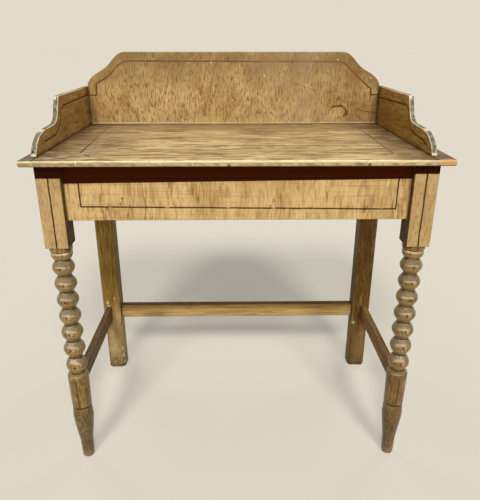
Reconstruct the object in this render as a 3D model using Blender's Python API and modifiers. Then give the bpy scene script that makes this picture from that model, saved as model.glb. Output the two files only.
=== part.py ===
"""Painted pine washstand: a galleried top on a tenoned frame with bobbin-turned front legs.

Metres, +Z up. X runs along the front, Y runs from front to back, and the origin is on the
floor below the middle of the top.
"""

import math

import bmesh
import bpy
from mathutils import Vector

# Fit between pieces that touch
CLEARANCE = 0.0003

# Top: two edge-jointed boards
TOP_WIDTH = 0.864
TOP_DEPTH = 0.492
TOP_THICKNESS = 0.013
TOP_HEIGHT = 0.765
REAR_BOARD_DEPTH = 0.190
TOP_EDGE_ROUND = 0.002
EDGE_ROUND_STEPS = 2

# Gallery boards that stand on the top
GALLERY_MIDDLE = -0.006
GALLERY_SIDE_INSET = 0.0235
GALLERY_BACK_INSET = 0.0045
GALLERY_FRONT_INSET = 0.030
SIDE_BOARD_THICKNESS = 0.0115
SIDE_BOARD_HEIGHT = 0.101
SIDE_SLOPE_RUN = 0.017
SIDE_SLOPE_DROP = 0.032
SIDE_HOLLOW_RUN = 0.0375
SIDE_SHELF_RUN = 0.0545
SIDE_SHELF_HEIGHT = 0.044
SIDE_SHELF_RISE = 0.002
SIDE_ROLL_RUN = 0.0762
SIDE_ROLL_SINK = 0.012
BACK_BOARD_THICKNESS = 0.014
BACK_BOARD_HEIGHT = 0.1885
BACK_END_HEIGHT = 0.100
BACK_ROLL_REACH = 0.0367
BACK_ROLL_CLIMB = 0.040
BACK_OGEE_REACH = 0.068
CURVE_STEPS = 8

# Shape of the back board's ogee, as shares of its reach and its climb from the end roll to the crown
OGEE_HOLLOW_REACH_SHARE = 0.271
OGEE_HOLLOW_CLIMB_SHARE = 0.190
OGEE_TURN_REACH_SHARE = 0.471
OGEE_TURN_CLIMB_SHARE = 0.526

# Front legs: a square block over a turned column
FRONT_LEG_SIZE = 0.050
FRONT_LEG_SIDE_INSET = 0.024
FRONT_LEG_FRONT_INSET = 0.0195
BLOCK_LENGTH = 0.1785
COLLAR_RING_LENGTH = 0.0115
COLLAR_GROOVE_LENGTH = 0.0015
COLLAR_BEAD_LENGTH = 0.019
COLLAR_RADIUS = 0.0246
COLLAR_GROOVE_RADIUS = 0.0222
BEAD_RADIUS = 0.0235
BEAD_STEPS = 3
BOBBIN_COUNT = 7
BOBBIN_GRADE = 0.08
BOBBIN_RADIUS = 0.0246
NECK_RADIUS = 0.015
BOBBIN_SHARPNESS = 1.5
BOBBIN_STEPS = 8
BARREL_LENGTH = 0.095
BARREL_SHOULDER = 0.010
BARREL_TOP_RADIUS = 0.0245
BARREL_FOOT_RADIUS = 0.0230
FOOT_HEIGHT = 0.155
FOOT_GROOVE_RADIUS = 0.0212
FOOT_GROOVE_LENGTH = 0.003
FOOT_RADIUS = 0.0242
FOOT_SWELL_DROP = 0.032
ANKLE_HEIGHT = 0.050
ANKLE_RADIUS = 0.0157
FOOT_TIP_HEIGHT = 0.020
FOOT_TIP_RADIUS = 0.0148
FOOT_SOLE_RADIUS = 0.0138
TURNING_SIDES = 20

# Back legs: square posts with stop-chamfered feet
BACK_LEG_SIZE = 0.051
BACK_LEG_SIDE_INSET = 0.0205
BACK_LEG_BACK_INSET = 0.014
FOOT_CHAMFER = 0.008
CHAMFER_LENGTH = 0.150

# Aprons and their tenons
APRON_HEIGHT = 0.121
APRON_THICKNESS = 0.018
APRON_SETBACK = 0.0145
APRON_TENON_THICKNESS = 0.008
APRON_TENON_LENGTH = 0.018
TENON_FOOT_SHOULDER = 0.012
TENON_HEAD_SHOULDER = 0.025
TENON_WALL = 0.004

# Stretchers and their tenons
STRETCHER_BOTTOM = 0.1745
STRETCHER_HEIGHT = 0.045
STRETCHER_THICKNESS = 0.0155
SIDE_STRETCHER_OFFSET = 0.0108
BACK_STRETCHER_SETBACK = 0.0145
STRETCHER_TENON_THICKNESS = 0.008
STRETCHER_TENON_LENGTH = 0.015
STRETCHER_TENON_SHOULDER = 0.006

# Glue blocks rubbed into the corner of apron and top
GLUE_BLOCK_LENGTH = 0.055
GLUE_BLOCK_SIZE = 0.022
GLUE_BLOCK_CHAMFER = 0.012
LONG_BLOCK_SPACING = 0.200
SIDE_BLOCK_SPACING = 0.180

# Screws up through the top into the gallery, and nails at the gallery corners
SCREW_HEAD_RADIUS = 0.0038
SCREW_HEAD_LENGTH = 0.0030
SCREW_SHANK_RADIUS = 0.0018
SCREW_LENGTH = 0.031
SCREW_TIP_LENGTH = 0.005
BACK_SCREW_SPACING = 0.270
SIDE_SCREW_FRONT_REACH = 0.080
SIDE_SCREW_BACK_REACH = 0.110
NAIL_HEAD_RADIUS = 0.0024
NAIL_HEAD_LENGTH = 0.0012
NAIL_SHANK_RADIUS = 0.0012
NAIL_LENGTH = 0.034
NAIL_TIP_LENGTH = 0.004
NAIL_LOW_HEIGHT = 0.028
NAIL_HIGH_DROP = 0.026
FASTENER_SIDES = 10

# Colours, as linear red, green and blue
SCUMBLE_PINE = (0.46, 0.31, 0.13)
SHADED_PINE = (0.30, 0.20, 0.08)
TURNED_PINE = (0.27, 0.19, 0.09)
BARE_PINE = (0.58, 0.40, 0.20)
DARK_IRON = (0.09, 0.08, 0.075)

# Levels that follow from the sizes above
TOP_UNDERSIDE = TOP_HEIGHT - TOP_THICKNESS
FRAME_TOP = TOP_UNDERSIDE - CLEARANCE
APRON_BOTTOM = TOP_UNDERSIDE - APRON_HEIGHT
BLOCK_BOTTOM = TOP_UNDERSIDE - BLOCK_LENGTH
COLLAR_BOTTOM = BLOCK_BOTTOM - COLLAR_RING_LENGTH - COLLAR_GROOVE_LENGTH - COLLAR_BEAD_LENGTH
BARREL_TOP = FOOT_HEIGHT + BARREL_LENGTH
GALLERY_BASE = TOP_HEIGHT + CLEARANCE

# Leg faces that follow from the top and the insets, given for the +X side
FRONT_LEG_OUTER = TOP_WIDTH / 2 - FRONT_LEG_SIDE_INSET
FRONT_LEG_INNER = FRONT_LEG_OUTER - FRONT_LEG_SIZE
FRONT_LEG_AXIS = FRONT_LEG_OUTER - FRONT_LEG_SIZE / 2
FRONT_LEG_FACE = -TOP_DEPTH / 2 + FRONT_LEG_FRONT_INSET
FRONT_LEG_REAR = FRONT_LEG_FACE + FRONT_LEG_SIZE
FRONT_LEG_MIDDLE = FRONT_LEG_FACE + FRONT_LEG_SIZE / 2
BACK_LEG_OUTER = TOP_WIDTH / 2 - BACK_LEG_SIDE_INSET
BACK_LEG_INNER = BACK_LEG_OUTER - BACK_LEG_SIZE
BACK_LEG_REAR = TOP_DEPTH / 2 - BACK_LEG_BACK_INSET
BACK_LEG_FACE = BACK_LEG_REAR - BACK_LEG_SIZE

# Apron and stretcher places
FRONT_APRON_FACE = FRONT_LEG_FACE + APRON_SETBACK
BACK_APRON_FACE = BACK_LEG_REAR - APRON_SETBACK
SIDE_APRON_FACE = FRONT_LEG_OUTER - APRON_SETBACK
SIDE_TENON_INNER = SIDE_APRON_FACE - APRON_THICKNESS / 2 - APRON_TENON_THICKNESS / 2
LONG_TENON_END = SIDE_TENON_INNER - TENON_WALL
TENON_BOTTOM = APRON_BOTTOM + TENON_FOOT_SHOULDER
TENON_TOP = TOP_UNDERSIDE - TENON_HEAD_SHOULDER
STRETCHER_TOP = STRETCHER_BOTTOM + STRETCHER_HEIGHT
STRETCHER_TENON_BOTTOM = STRETCHER_BOTTOM + STRETCHER_TENON_SHOULDER
STRETCHER_TENON_TOP = STRETCHER_TOP - STRETCHER_TENON_SHOULDER
SIDE_STRETCHER_MIDDLE = FRONT_LEG_AXIS + SIDE_STRETCHER_OFFSET
BACK_STRETCHER_FACE = BACK_LEG_FACE + BACK_STRETCHER_SETBACK

# Gallery places
SIDE_BOARD_OUTER = TOP_WIDTH / 2 - GALLERY_SIDE_INSET
SIDE_BOARD_INNER = SIDE_BOARD_OUTER - SIDE_BOARD_THICKNESS
GALLERY_REAR = TOP_DEPTH / 2 - GALLERY_BACK_INSET
GALLERY_FRONT = -TOP_DEPTH / 2 + GALLERY_FRONT_INSET
BACK_BOARD_MIDDLE = GALLERY_REAR - BACK_BOARD_THICKNESS / 2
SIDE_BOARD_MIDDLE = SIDE_BOARD_OUTER - SIDE_BOARD_THICKNESS / 2

UPRIGHT_ALONG_X = (math.pi / 2, 0, 0)
UPRIGHT_ALONG_Y = (math.pi / 2, 0, math.pi / 2)


def clear_scene():
    """Remove every object of the open scene."""
    for thing in list(bpy.data.objects):
        bpy.data.objects.remove(thing, do_unlink=True)


def new_collection(name):
    """Make a collection and link it to the scene."""
    collection = bpy.data.collections.new(name)
    bpy.context.scene.collection.children.link(collection)
    return collection


def new_group(name, parent=None):
    """Make an empty that carries a sub-assembly."""
    empty = bpy.data.objects.new(name, None)
    PARTS.objects.link(empty)
    empty.parent = parent
    return empty


def finish_material(name, colour, roughness, metallic=0.0):
    """Make one piece's own material."""
    material = bpy.data.materials.new(name)
    material.use_nodes = True
    shader = material.node_tree.nodes["Principled BSDF"]
    shader.inputs["Base Color"].default_value = (*colour, 1.0)
    shader.inputs["Roughness"].default_value = roughness
    shader.inputs["Metallic"].default_value = metallic
    return material


def add_piece(name, mesh, group, colour, roughness=0.55, metallic=0.0):
    """Make a named piece of the washstand from a mesh."""
    piece = bpy.data.objects.new(name, mesh)
    PARTS.objects.link(piece)
    piece.parent = group
    mesh.materials.append(finish_material(name + "_finish", colour, roughness, metallic))
    return piece


def add_helper(name, mesh):
    """Make a body that only cuts or completes other pieces."""
    helper = bpy.data.objects.new(name, mesh)
    CUTTERS.objects.link(helper)
    helper.hide_render = True
    helper.display_type = "WIRE"
    return helper


def combine(piece, helper, operation):
    """Cut a helper out of a piece, or join it on."""
    modifier = piece.modifiers.new(helper.name, "BOOLEAN")
    modifier.operation = operation
    modifier.solver = "EXACT"
    modifier.object = helper


def cut(piece, helper):
    """Cut a helper out of a piece."""
    combine(piece, helper, "DIFFERENCE")


def join(piece, helper):
    """Join a helper to a piece."""
    combine(piece, helper, "UNION")


def box_mesh(name, low, high):
    """Make a box between two corners, about its own centre, with that centre."""
    low, high = Vector(low), Vector(high)
    shape = bmesh.new()
    bmesh.ops.create_cube(shape, size=1.0)
    bmesh.ops.scale(shape, vec=high - low, verts=shape.verts)
    mesh = bpy.data.meshes.new(name)
    shape.to_mesh(mesh)
    shape.free()
    return mesh, (low + high) / 2


def box_piece(name, low, high, group, colour):
    """Make a plain board between two corners."""
    mesh, centre = box_mesh(name, low, high)
    piece = add_piece(name, mesh, group, colour)
    piece.location = centre
    return piece


def box_helper(name, low, high, grow=0.0):
    """Make a box helper between two corners, grown by a clearance on all sides."""
    margin = Vector((grow, grow, grow))
    mesh, centre = box_mesh(name, Vector(low) - margin, Vector(high) + margin)
    helper = add_helper(name, mesh)
    helper.location = centre
    return helper


def turned_mesh(name, profile):
    """Make a profile mesh in the XZ plane from points of radius and height, top first."""
    shape = bmesh.new()
    corners = [shape.verts.new((radius, 0, height)) for radius, height in profile]
    for upper, lower in zip(corners, corners[1:]):
        shape.edges.new((upper, lower))
    mesh = bpy.data.meshes.new(name)
    shape.to_mesh(mesh)
    shape.free()
    return mesh


def turn(thing, sides):
    """Spin a profile round its own Z axis."""
    screw = thing.modifiers.new("turning", "SCREW")
    screw.axis = "Z"
    screw.angle = 2 * math.pi
    screw.steps = sides
    screw.render_steps = sides
    screw.use_merge_vertices = True
    screw.merge_threshold = 0.00001
    screw.use_smooth_shade = True


def arc_points(centre, reach, rise, start, end):
    """Points along an elliptical arc between two angles in degrees."""
    points = []
    for step in range(CURVE_STEPS + 1):
        angle = math.radians(start + (end - start) * step / CURVE_STEPS)
        points.append((centre[0] + reach * math.cos(angle), centre[1] + rise * math.sin(angle)))
    return points


def curve_points(start, control, end):
    """Points after the start of a quadratic curve that leaves and arrives along its control point."""
    points = []
    for step in range(1, CURVE_STEPS + 1):
        share = step / CURVE_STEPS
        weights = ((1 - share) ** 2, 2 * share * (1 - share), share ** 2)
        points.append(tuple(sum(weight * value for weight, value in zip(weights, values))
                            for values in zip(start, control, end)))
    return points


def outline_piece(name, outline, thickness, turn_to, centre, group, colour):
    """Make a flat board from its outline, stood up and placed at a centre."""
    curve = bpy.data.curves.new(name, "CURVE")
    curve.dimensions = "2D"
    curve.fill_mode = "BOTH"
    curve.extrude = thickness / 2
    spline = curve.splines.new("POLY")
    spline.points.add(len(outline) - 1)
    for point, (across, upward) in zip(spline.points, outline):
        point.co = (across, upward, 0, 1)
    spline.use_cyclic_u = True
    drawing = bpy.data.objects.new(name + "_outline", curve)
    CUTTERS.objects.link(drawing)
    drawing.rotation_euler = turn_to
    drawing.location = centre
    depsgraph = bpy.context.evaluated_depsgraph_get()
    mesh = bpy.data.meshes.new_from_object(drawing.evaluated_get(depsgraph))
    shape = bmesh.new()
    shape.from_mesh(mesh)
    bmesh.ops.remove_doubles(shape, verts=shape.verts, dist=0.000001)
    bmesh.ops.recalc_face_normals(shape, faces=shape.faces)
    shape.to_mesh(mesh)
    shape.free()
    piece = add_piece(name, mesh, group, colour)
    piece.matrix_world = drawing.matrix_world
    bpy.data.objects.remove(drawing, do_unlink=True)
    return piece


def top_board(name, front, rear, joint, group):
    """Make one board of the top, rounded on every edge except those of the glue joint."""
    low = (-TOP_WIDTH / 2, front, TOP_UNDERSIDE)
    high = (TOP_WIDTH / 2, rear, TOP_HEIGHT)
    mesh, centre = box_mesh(name, low, high)
    shape = bmesh.new()
    shape.from_mesh(mesh)
    joint_side = joint - centre.y
    outer = [edge for edge in shape.edges if any(corner.co.y * joint_side < 0 for corner in edge.verts)]
    bmesh.ops.bevel(shape, geom=outer, offset=TOP_EDGE_ROUND, segments=EDGE_ROUND_STEPS, profile=0.5,
                    affect="EDGES")
    shape.to_mesh(mesh)
    shape.free()
    board = add_piece(name, mesh, group, SCUMBLE_PINE)
    board.location = centre
    return board


def build_top(group):
    """Make the two boards of the top."""
    joint = TOP_DEPTH / 2 - REAR_BOARD_DEPTH
    front_board = top_board("top_front_board", -TOP_DEPTH / 2, joint - CLEARANCE / 2, joint, group)
    rear_board = top_board("top_rear_board", joint + CLEARANCE / 2, TOP_DEPTH / 2, joint, group)
    return front_board, rear_board


def side_outline():
    """Outline of a gallery side: a slope and a hollow fall to a shelf, which rolls over to the toe."""
    roll_top = GALLERY_FRONT + SIDE_ROLL_RUN
    shelf_rear = (roll_top + SIDE_SHELF_RUN, SIDE_SHELF_HEIGHT + SIDE_SHELF_RISE)
    slope_foot = (shelf_rear[0] + SIDE_HOLLOW_RUN, SIDE_BOARD_HEIGHT - SIDE_SLOPE_DROP)
    crown = (slope_foot[0] + SIDE_SLOPE_RUN, SIDE_BOARD_HEIGHT)
    slope = SIDE_SLOPE_RUN / SIDE_SLOPE_DROP
    hollow_corner = (slope_foot[0] - slope * (slope_foot[1] - shelf_rear[1]), shelf_rear[1])
    roll_rise = SIDE_SHELF_HEIGHT + SIDE_ROLL_SINK
    toe_angle = math.asin(SIDE_ROLL_SINK / roll_rise)
    roll_reach = SIDE_ROLL_RUN / math.cos(toe_angle)
    rear = [(GALLERY_REAR, 0), (GALLERY_REAR, SIDE_BOARD_HEIGHT)]
    hollow = curve_points(slope_foot, hollow_corner, shelf_rear)
    roll = arc_points((roll_top, -SIDE_ROLL_SINK), roll_reach, roll_rise, 90, 180 - math.degrees(toe_angle))
    return rear + [crown, slope_foot] + hollow + roll


def back_outline():
    """Outline of the gallery back: an ogee falls from the crown and rolls over to the end on each side."""
    half_length = SIDE_BOARD_INNER - CLEARANCE
    end = (half_length, BACK_END_HEIGHT)
    foot = (half_length - BACK_ROLL_REACH, BACK_END_HEIGHT + BACK_ROLL_CLIMB)
    climb = BACK_BOARD_HEIGHT - foot[1]
    hollow = (foot[0] - OGEE_HOLLOW_REACH_SHARE * BACK_OGEE_REACH, foot[1] + OGEE_HOLLOW_CLIMB_SHARE * climb)
    turn_point = (foot[0] - OGEE_TURN_REACH_SHARE * BACK_OGEE_REACH, foot[1] + OGEE_TURN_CLIMB_SHARE * climb)
    slope = (turn_point[0] - hollow[0]) / (turn_point[1] - hollow[1])
    swell = (turn_point[0] + slope * (BACK_BOARD_HEIGHT - turn_point[1]), BACK_BOARD_HEIGHT)
    crown = (foot[0] - BACK_OGEE_REACH, BACK_BOARD_HEIGHT)
    fall = (hollow[1] - foot[1]) / (foot[0] - hollow[0])
    roll_corner = (half_length, foot[1] - fall * BACK_ROLL_REACH)
    right = [(half_length, 0), end] + curve_points(end, roll_corner, foot)
    right += curve_points(foot, hollow, turn_point) + curve_points(turn_point, swell, crown)
    left = [(-across, height) for across, height in reversed(right)]
    return right + left


def build_gallery(group):
    """Make the back and the two sides of the gallery."""
    back = outline_piece("gallery_back", back_outline(), BACK_BOARD_THICKNESS, UPRIGHT_ALONG_X,
                         (GALLERY_MIDDLE, BACK_BOARD_MIDDLE, GALLERY_BASE), group, SCUMBLE_PINE)
    sides = {}
    for side, hand in (("left", -1), ("right", 1)):
        place = (GALLERY_MIDDLE + hand * SIDE_BOARD_MIDDLE, 0, GALLERY_BASE)
        sides[hand] = outline_piece("gallery_" + side, side_outline(), SIDE_BOARD_THICKNESS, UPRIGHT_ALONG_Y,
                                    place, group, SHADED_PINE)
    return back, sides


def bobbin_points(upper, lower):
    """Outer points of one bobbin, from its upper neck to just above its lower one."""
    points = []
    for step in range(BOBBIN_STEPS):
        level = 2 * step / BOBBIN_STEPS - 1
        bulge = (1 - level * level) ** BOBBIN_SHARPNESS
        radius = NECK_RADIUS + (BOBBIN_RADIUS - NECK_RADIUS) * bulge
        points.append((radius, upper + (lower - upper) * step / BOBBIN_STEPS))
    return points


def collar_points():
    """Outer points of the ring, groove and bead below the block, top first; the ring runs into the block."""
    ring_bottom = BLOCK_BOTTOM - COLLAR_RING_LENGTH
    bead_top = ring_bottom - COLLAR_GROOVE_LENGTH
    ring_edge = COLLAR_RING_LENGTH / 4
    bead_middle = bead_top - COLLAR_BEAD_LENGTH / 4
    points = [
        (0, BLOCK_BOTTOM + ring_edge),
        (COLLAR_RADIUS, BLOCK_BOTTOM + ring_edge),
        (COLLAR_RADIUS, ring_bottom + ring_edge),
        (COLLAR_GROOVE_RADIUS, ring_bottom),
        (COLLAR_GROOVE_RADIUS, bead_top),
    ]
    for step in range(BEAD_STEPS):
        angle = math.pi / 2 * step / BEAD_STEPS
        radius = NECK_RADIUS + (BEAD_RADIUS - NECK_RADIUS) * math.cos(angle)
        points.append((radius, bead_middle - (bead_middle - COLLAR_BOTTOM) * math.sin(angle)))
    return points


def foot_points():
    """Outer points of the barrel and the tapered foot below the bobbins, top first."""
    groove_bottom = FOOT_HEIGHT - FOOT_GROOVE_LENGTH
    foot_edge = FOOT_SWELL_DROP / 4
    return [
        (NECK_RADIUS, BARREL_TOP),
        (BARREL_TOP_RADIUS - BARREL_SHOULDER / 3, BARREL_TOP - BARREL_SHOULDER / 3),
        (BARREL_TOP_RADIUS, BARREL_TOP - BARREL_SHOULDER),
        (BARREL_FOOT_RADIUS, FOOT_HEIGHT + FOOT_GROOVE_LENGTH),
        (FOOT_GROOVE_RADIUS, FOOT_HEIGHT),
        (FOOT_GROOVE_RADIUS, groove_bottom),
        (BARREL_FOOT_RADIUS, groove_bottom - foot_edge),
        (FOOT_RADIUS, FOOT_HEIGHT - FOOT_SWELL_DROP),
        (ANKLE_RADIUS, ANKLE_HEIGHT),
        (FOOT_TIP_RADIUS, FOOT_TIP_HEIGHT),
        (FOOT_SOLE_RADIUS, 0),
        (0, 0),
    ]


def neck_level(index):
    """Height of the neck above a bobbin, counted from the top; the bobbins grow longer downwards."""
    share = index / BOBBIN_COUNT
    return COLLAR_BOTTOM + (BARREL_TOP - COLLAR_BOTTOM) * share * (1 - BOBBIN_GRADE * (1 - share))


def leg_profile():
    """Whole turned profile of a front leg, top first."""
    points = collar_points()
    for index in range(BOBBIN_COUNT):
        points += bobbin_points(neck_level(index), neck_level(index + 1))
    return points + foot_points()


def build_front_legs(group):
    """Make the two front legs: a square block joined to a turned column."""
    legs = {}
    for side, hand in (("left", -1), ("right", 1)):
        name = "front_" + side + "_leg"
        leg = add_piece(name, turned_mesh(name, leg_profile()), group, TURNED_PINE, roughness=0.4)
        leg.location = (hand * FRONT_LEG_AXIS, FRONT_LEG_MIDDLE, 0)
        turn(leg, TURNING_SIDES)
        half = FRONT_LEG_SIZE / 2
        low = (leg.location.x - half, FRONT_LEG_FACE, BLOCK_BOTTOM)
        high = (leg.location.x + half, FRONT_LEG_REAR, FRAME_TOP)
        join(leg, box_helper(name + "_block", low, high))
        legs[hand] = leg
    return legs


def back_leg_mesh(name, low, high):
    """Make a square post whose four arrises are stop-chamfered near the floor."""
    mesh, centre = box_mesh(name, low, high)
    shape = bmesh.new()
    shape.from_mesh(mesh)
    stop = CHAMFER_LENGTH - centre.z
    bmesh.ops.bisect_plane(shape, geom=shape.verts[:] + shape.edges[:] + shape.faces[:],
                           plane_co=(0, 0, stop), plane_no=(0, 0, 1))
    halfway = (low[2] + CHAMFER_LENGTH) / 2 - centre.z
    arrises = []
    for edge in shape.edges:
        lower, upper = sorted(corner.co.z for corner in edge.verts)
        if lower < halfway < upper:
            arrises.append(edge)
    bmesh.ops.bevel(shape, geom=arrises, offset=FOOT_CHAMFER, segments=1, profile=0.5, affect="EDGES")
    shape.to_mesh(mesh)
    shape.free()
    return mesh, centre


def build_back_legs(group):
    """Make the two square back legs."""
    legs = {}
    for side, hand in (("left", -1), ("right", 1)):
        name = "back_" + side + "_leg"
        across = sorted((hand * BACK_LEG_INNER, hand * BACK_LEG_OUTER))
        low = (across[0], BACK_LEG_FACE, 0)
        high = (across[1], BACK_LEG_REAR, FRAME_TOP)
        mesh, centre = back_leg_mesh(name, low, high)
        leg = add_piece(name, mesh, group, SHADED_PINE)
        leg.location = centre
        legs[hand] = leg
    return legs


def add_tenon(rail, leg, name, low, high):
    """Join a tenon to a rail and cut its mortise, with clearance, in a leg."""
    join(rail, box_helper(name, low, high))
    cut(leg, box_helper(name + "_mortise", low, high, CLEARANCE))


def long_apron(name, face, leg_inner, legs, group, colour, inward):
    """Make a front or back apron with a tenon at each end; inward is the way to the table's middle."""
    rear = face + inward * APRON_THICKNESS
    near, far = sorted((face, rear))
    length = leg_inner - CLEARANCE
    apron = box_piece(name, (-length, near, APRON_BOTTOM), (length, far, FRAME_TOP), group, colour)
    middle = (near + far) / 2
    half = APRON_TENON_THICKNESS / 2
    for hand, leg in legs.items():
        root = hand * (length - APRON_THICKNESS)
        across = sorted((root, hand * LONG_TENON_END))
        low = (across[0], middle - half, TENON_BOTTOM)
        high = (across[1], middle + half, TENON_TOP)
        add_tenon(apron, leg, leg.name + "_" + name + "_tenon", low, high)
    return apron


def side_apron(hand, front_leg, back_leg, group):
    """Make one side apron with a tenon into the front leg and one into the back leg."""
    name = ("left" if hand < 0 else "right") + "_apron"
    across = sorted((hand * SIDE_APRON_FACE, hand * (SIDE_APRON_FACE - APRON_THICKNESS)))
    front = FRONT_LEG_REAR + CLEARANCE
    rear = BACK_LEG_FACE - CLEARANCE
    apron = box_piece(name, (across[0], front, APRON_BOTTOM), (across[1], rear, FRAME_TOP), group,
                      SHADED_PINE)
    middle = sum(across) / 2
    half = APRON_TENON_THICKNESS / 2
    reaches = ((front_leg, front - APRON_TENON_LENGTH, front + APRON_THICKNESS),
               (back_leg, rear - APRON_THICKNESS, rear + APRON_TENON_LENGTH))
    for leg, start, end in reaches:
        low = (middle - half, start, TENON_BOTTOM)
        high = (middle + half, end, TENON_TOP)
        add_tenon(apron, leg, leg.name + "_" + name + "_tenon", low, high)
    return apron


def build_aprons(front_legs, back_legs, group):
    """Make the four aprons of the frame."""
    long_apron("front_apron", FRONT_APRON_FACE, FRONT_LEG_INNER, front_legs, group, SCUMBLE_PINE, 1)
    long_apron("back_apron", BACK_APRON_FACE, BACK_LEG_INNER, back_legs, group, SHADED_PINE, -1)
    for hand in (-1, 1):
        side_apron(hand, front_legs[hand], back_legs[hand], group)


def build_back_stretcher(legs, group):
    """Make the stretcher between the back legs."""
    name = "back_stretcher"
    length = BACK_LEG_INNER - CLEARANCE
    rear = BACK_STRETCHER_FACE + STRETCHER_THICKNESS
    stretcher = box_piece(name, (-length, BACK_STRETCHER_FACE, STRETCHER_BOTTOM),
                          (length, rear, STRETCHER_TOP), group, SCUMBLE_PINE)
    middle = (BACK_STRETCHER_FACE + rear) / 2
    half = STRETCHER_TENON_THICKNESS / 2
    for hand, leg in legs.items():
        root = hand * (length - STRETCHER_THICKNESS)
        across = sorted((root, hand * (length + STRETCHER_TENON_LENGTH)))
        low = (across[0], middle - half, STRETCHER_TENON_BOTTOM)
        high = (across[1], middle + half, STRETCHER_TENON_TOP)
        add_tenon(stretcher, leg, leg.name + "_" + name + "_tenon", low, high)


def scribe_helper(name, hand):
    """Make the round body that scribes a side stretcher's shoulder to the barrel of a front leg."""
    radius = max(BARREL_TOP_RADIUS, BARREL_FOOT_RADIUS) + CLEARANCE
    profile = [(0, BARREL_TOP), (radius, BARREL_TOP), (radius, FOOT_HEIGHT), (0, FOOT_HEIGHT)]
    helper = add_helper(name, turned_mesh(name, profile))
    helper.location = (hand * FRONT_LEG_AXIS, FRONT_LEG_MIDDLE, 0)
    turn(helper, 2 * TURNING_SIDES)
    return helper


def build_side_stretchers(front_legs, back_legs, group):
    """Make the stretchers that run from each front leg's barrel to the back leg behind it."""
    for side, hand in (("left", -1), ("right", 1)):
        name = side + "_stretcher"
        middle = hand * SIDE_STRETCHER_MIDDLE
        half = STRETCHER_THICKNESS / 2
        rear = BACK_LEG_FACE - CLEARANCE
        stretcher = box_piece(name, (middle - half, FRONT_LEG_MIDDLE, STRETCHER_BOTTOM),
                              (middle + half, rear, STRETCHER_TOP), group, SHADED_PINE)
        cut(stretcher, scribe_helper(name + "_scribe", hand))
        half = STRETCHER_TENON_THICKNESS / 2
        tenon_end = FRONT_LEG_MIDDLE + BARREL_FOOT_RADIUS - STRETCHER_TENON_LENGTH
        reaches = ((front_legs[hand], tenon_end, FRONT_LEG_REAR + STRETCHER_THICKNESS),
                   (back_legs[hand], rear - STRETCHER_THICKNESS, rear + STRETCHER_TENON_LENGTH))
        for leg, start, end in reaches:
            low = (middle - half, start, STRETCHER_TENON_BOTTOM)
            high = (middle + half, end, STRETCHER_TENON_TOP)
            add_tenon(stretcher, leg, leg.name + "_" + name + "_tenon", low, high)


def glue_block(name, corner, along, inward, group):
    """Make a glue block: its corner lies in the angle of apron and top, its inner arris is planed off."""
    across = Vector(inward) * GLUE_BLOCK_SIZE
    run = Vector(along) * GLUE_BLOCK_LENGTH / 2
    drop = Vector((0, 0, -GLUE_BLOCK_SIZE))
    ends = [Vector(corner) + run, Vector(corner) - run + across + drop]
    low = [min(pair) for pair in zip(*ends)]
    high = [max(pair) for pair in zip(*ends)]
    mesh, centre = box_mesh(name, low, high)
    shape = bmesh.new()
    shape.from_mesh(mesh)
    arris = [edge for edge in shape.edges
             if all(corner.co.z < 0 and corner.co.dot(across) > 0 for corner in edge.verts)]
    bmesh.ops.bevel(shape, geom=arris, offset=GLUE_BLOCK_CHAMFER, segments=1, profile=0.5, affect="EDGES")
    shape.to_mesh(mesh)
    shape.free()
    block = add_piece(name, mesh, group, BARE_PINE, roughness=0.8)
    block.location = centre


def build_glue_blocks(group):
    """Make the glue blocks along the inside of each apron."""
    front = FRONT_APRON_FACE + APRON_THICKNESS + CLEARANCE
    back = BACK_APRON_FACE - APRON_THICKNESS - CLEARANCE
    level = TOP_UNDERSIDE - CLEARANCE
    for index, place in enumerate((-1, 0, 1), start=1):
        across = place * LONG_BLOCK_SPACING
        glue_block("glue_block_front_%d" % index, (across, front, level), (1, 0, 0), (0, 1, 0), group)
        glue_block("glue_block_back_%d" % index, (across, back, level), (1, 0, 0), (0, -1, 0), group)
    inner = SIDE_APRON_FACE - APRON_THICKNESS - CLEARANCE
    for side, hand in (("left", -1), ("right", 1)):
        for index, place in enumerate((-0.5, 0.5), start=1):
            corner = (hand * inner, place * SIDE_BLOCK_SPACING, level)
            glue_block("glue_block_%s_%d" % (side, index), corner, (0, 1, 0), (-hand, 0, 0), group)


def screw_profile(grow):
    """Profile of a countersunk screw pointing up, its head face at height 0, grown by a clearance."""
    shank = SCREW_SHANK_RADIUS + grow
    head = SCREW_HEAD_RADIUS + grow
    return [(0, SCREW_LENGTH + grow), (shank, SCREW_LENGTH - SCREW_TIP_LENGTH),
            (shank, SCREW_HEAD_LENGTH + grow), (head, -grow), (0, -grow)]


def nail_profile(grow):
    """Profile of a flat-headed nail pointing up, its head face at height 0, grown by a clearance."""
    shank = NAIL_SHANK_RADIUS + grow
    head = NAIL_HEAD_RADIUS + grow
    return [(0, NAIL_LENGTH + grow), (shank, NAIL_LENGTH - NAIL_TIP_LENGTH), (shank, NAIL_HEAD_LENGTH + grow),
            (head, NAIL_HEAD_LENGTH + grow), (head, -grow), (0, -grow)]


def fastener(name, profile, place, turn_to, boards, group):
    """Make a screw or nail and cut its hole in the boards that it passes through."""
    piece = add_piece(name, turned_mesh(name, profile(0)), group, DARK_IRON, roughness=0.5, metallic=0.9)
    hole = add_helper(name + "_hole", turned_mesh(name + "_hole", profile(CLEARANCE)))
    for thing in (piece, hole):
        thing.location = place
        thing.rotation_euler = turn_to
        turn(thing, FASTENER_SIDES)
    for board in boards:
        cut(board, hole)


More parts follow.
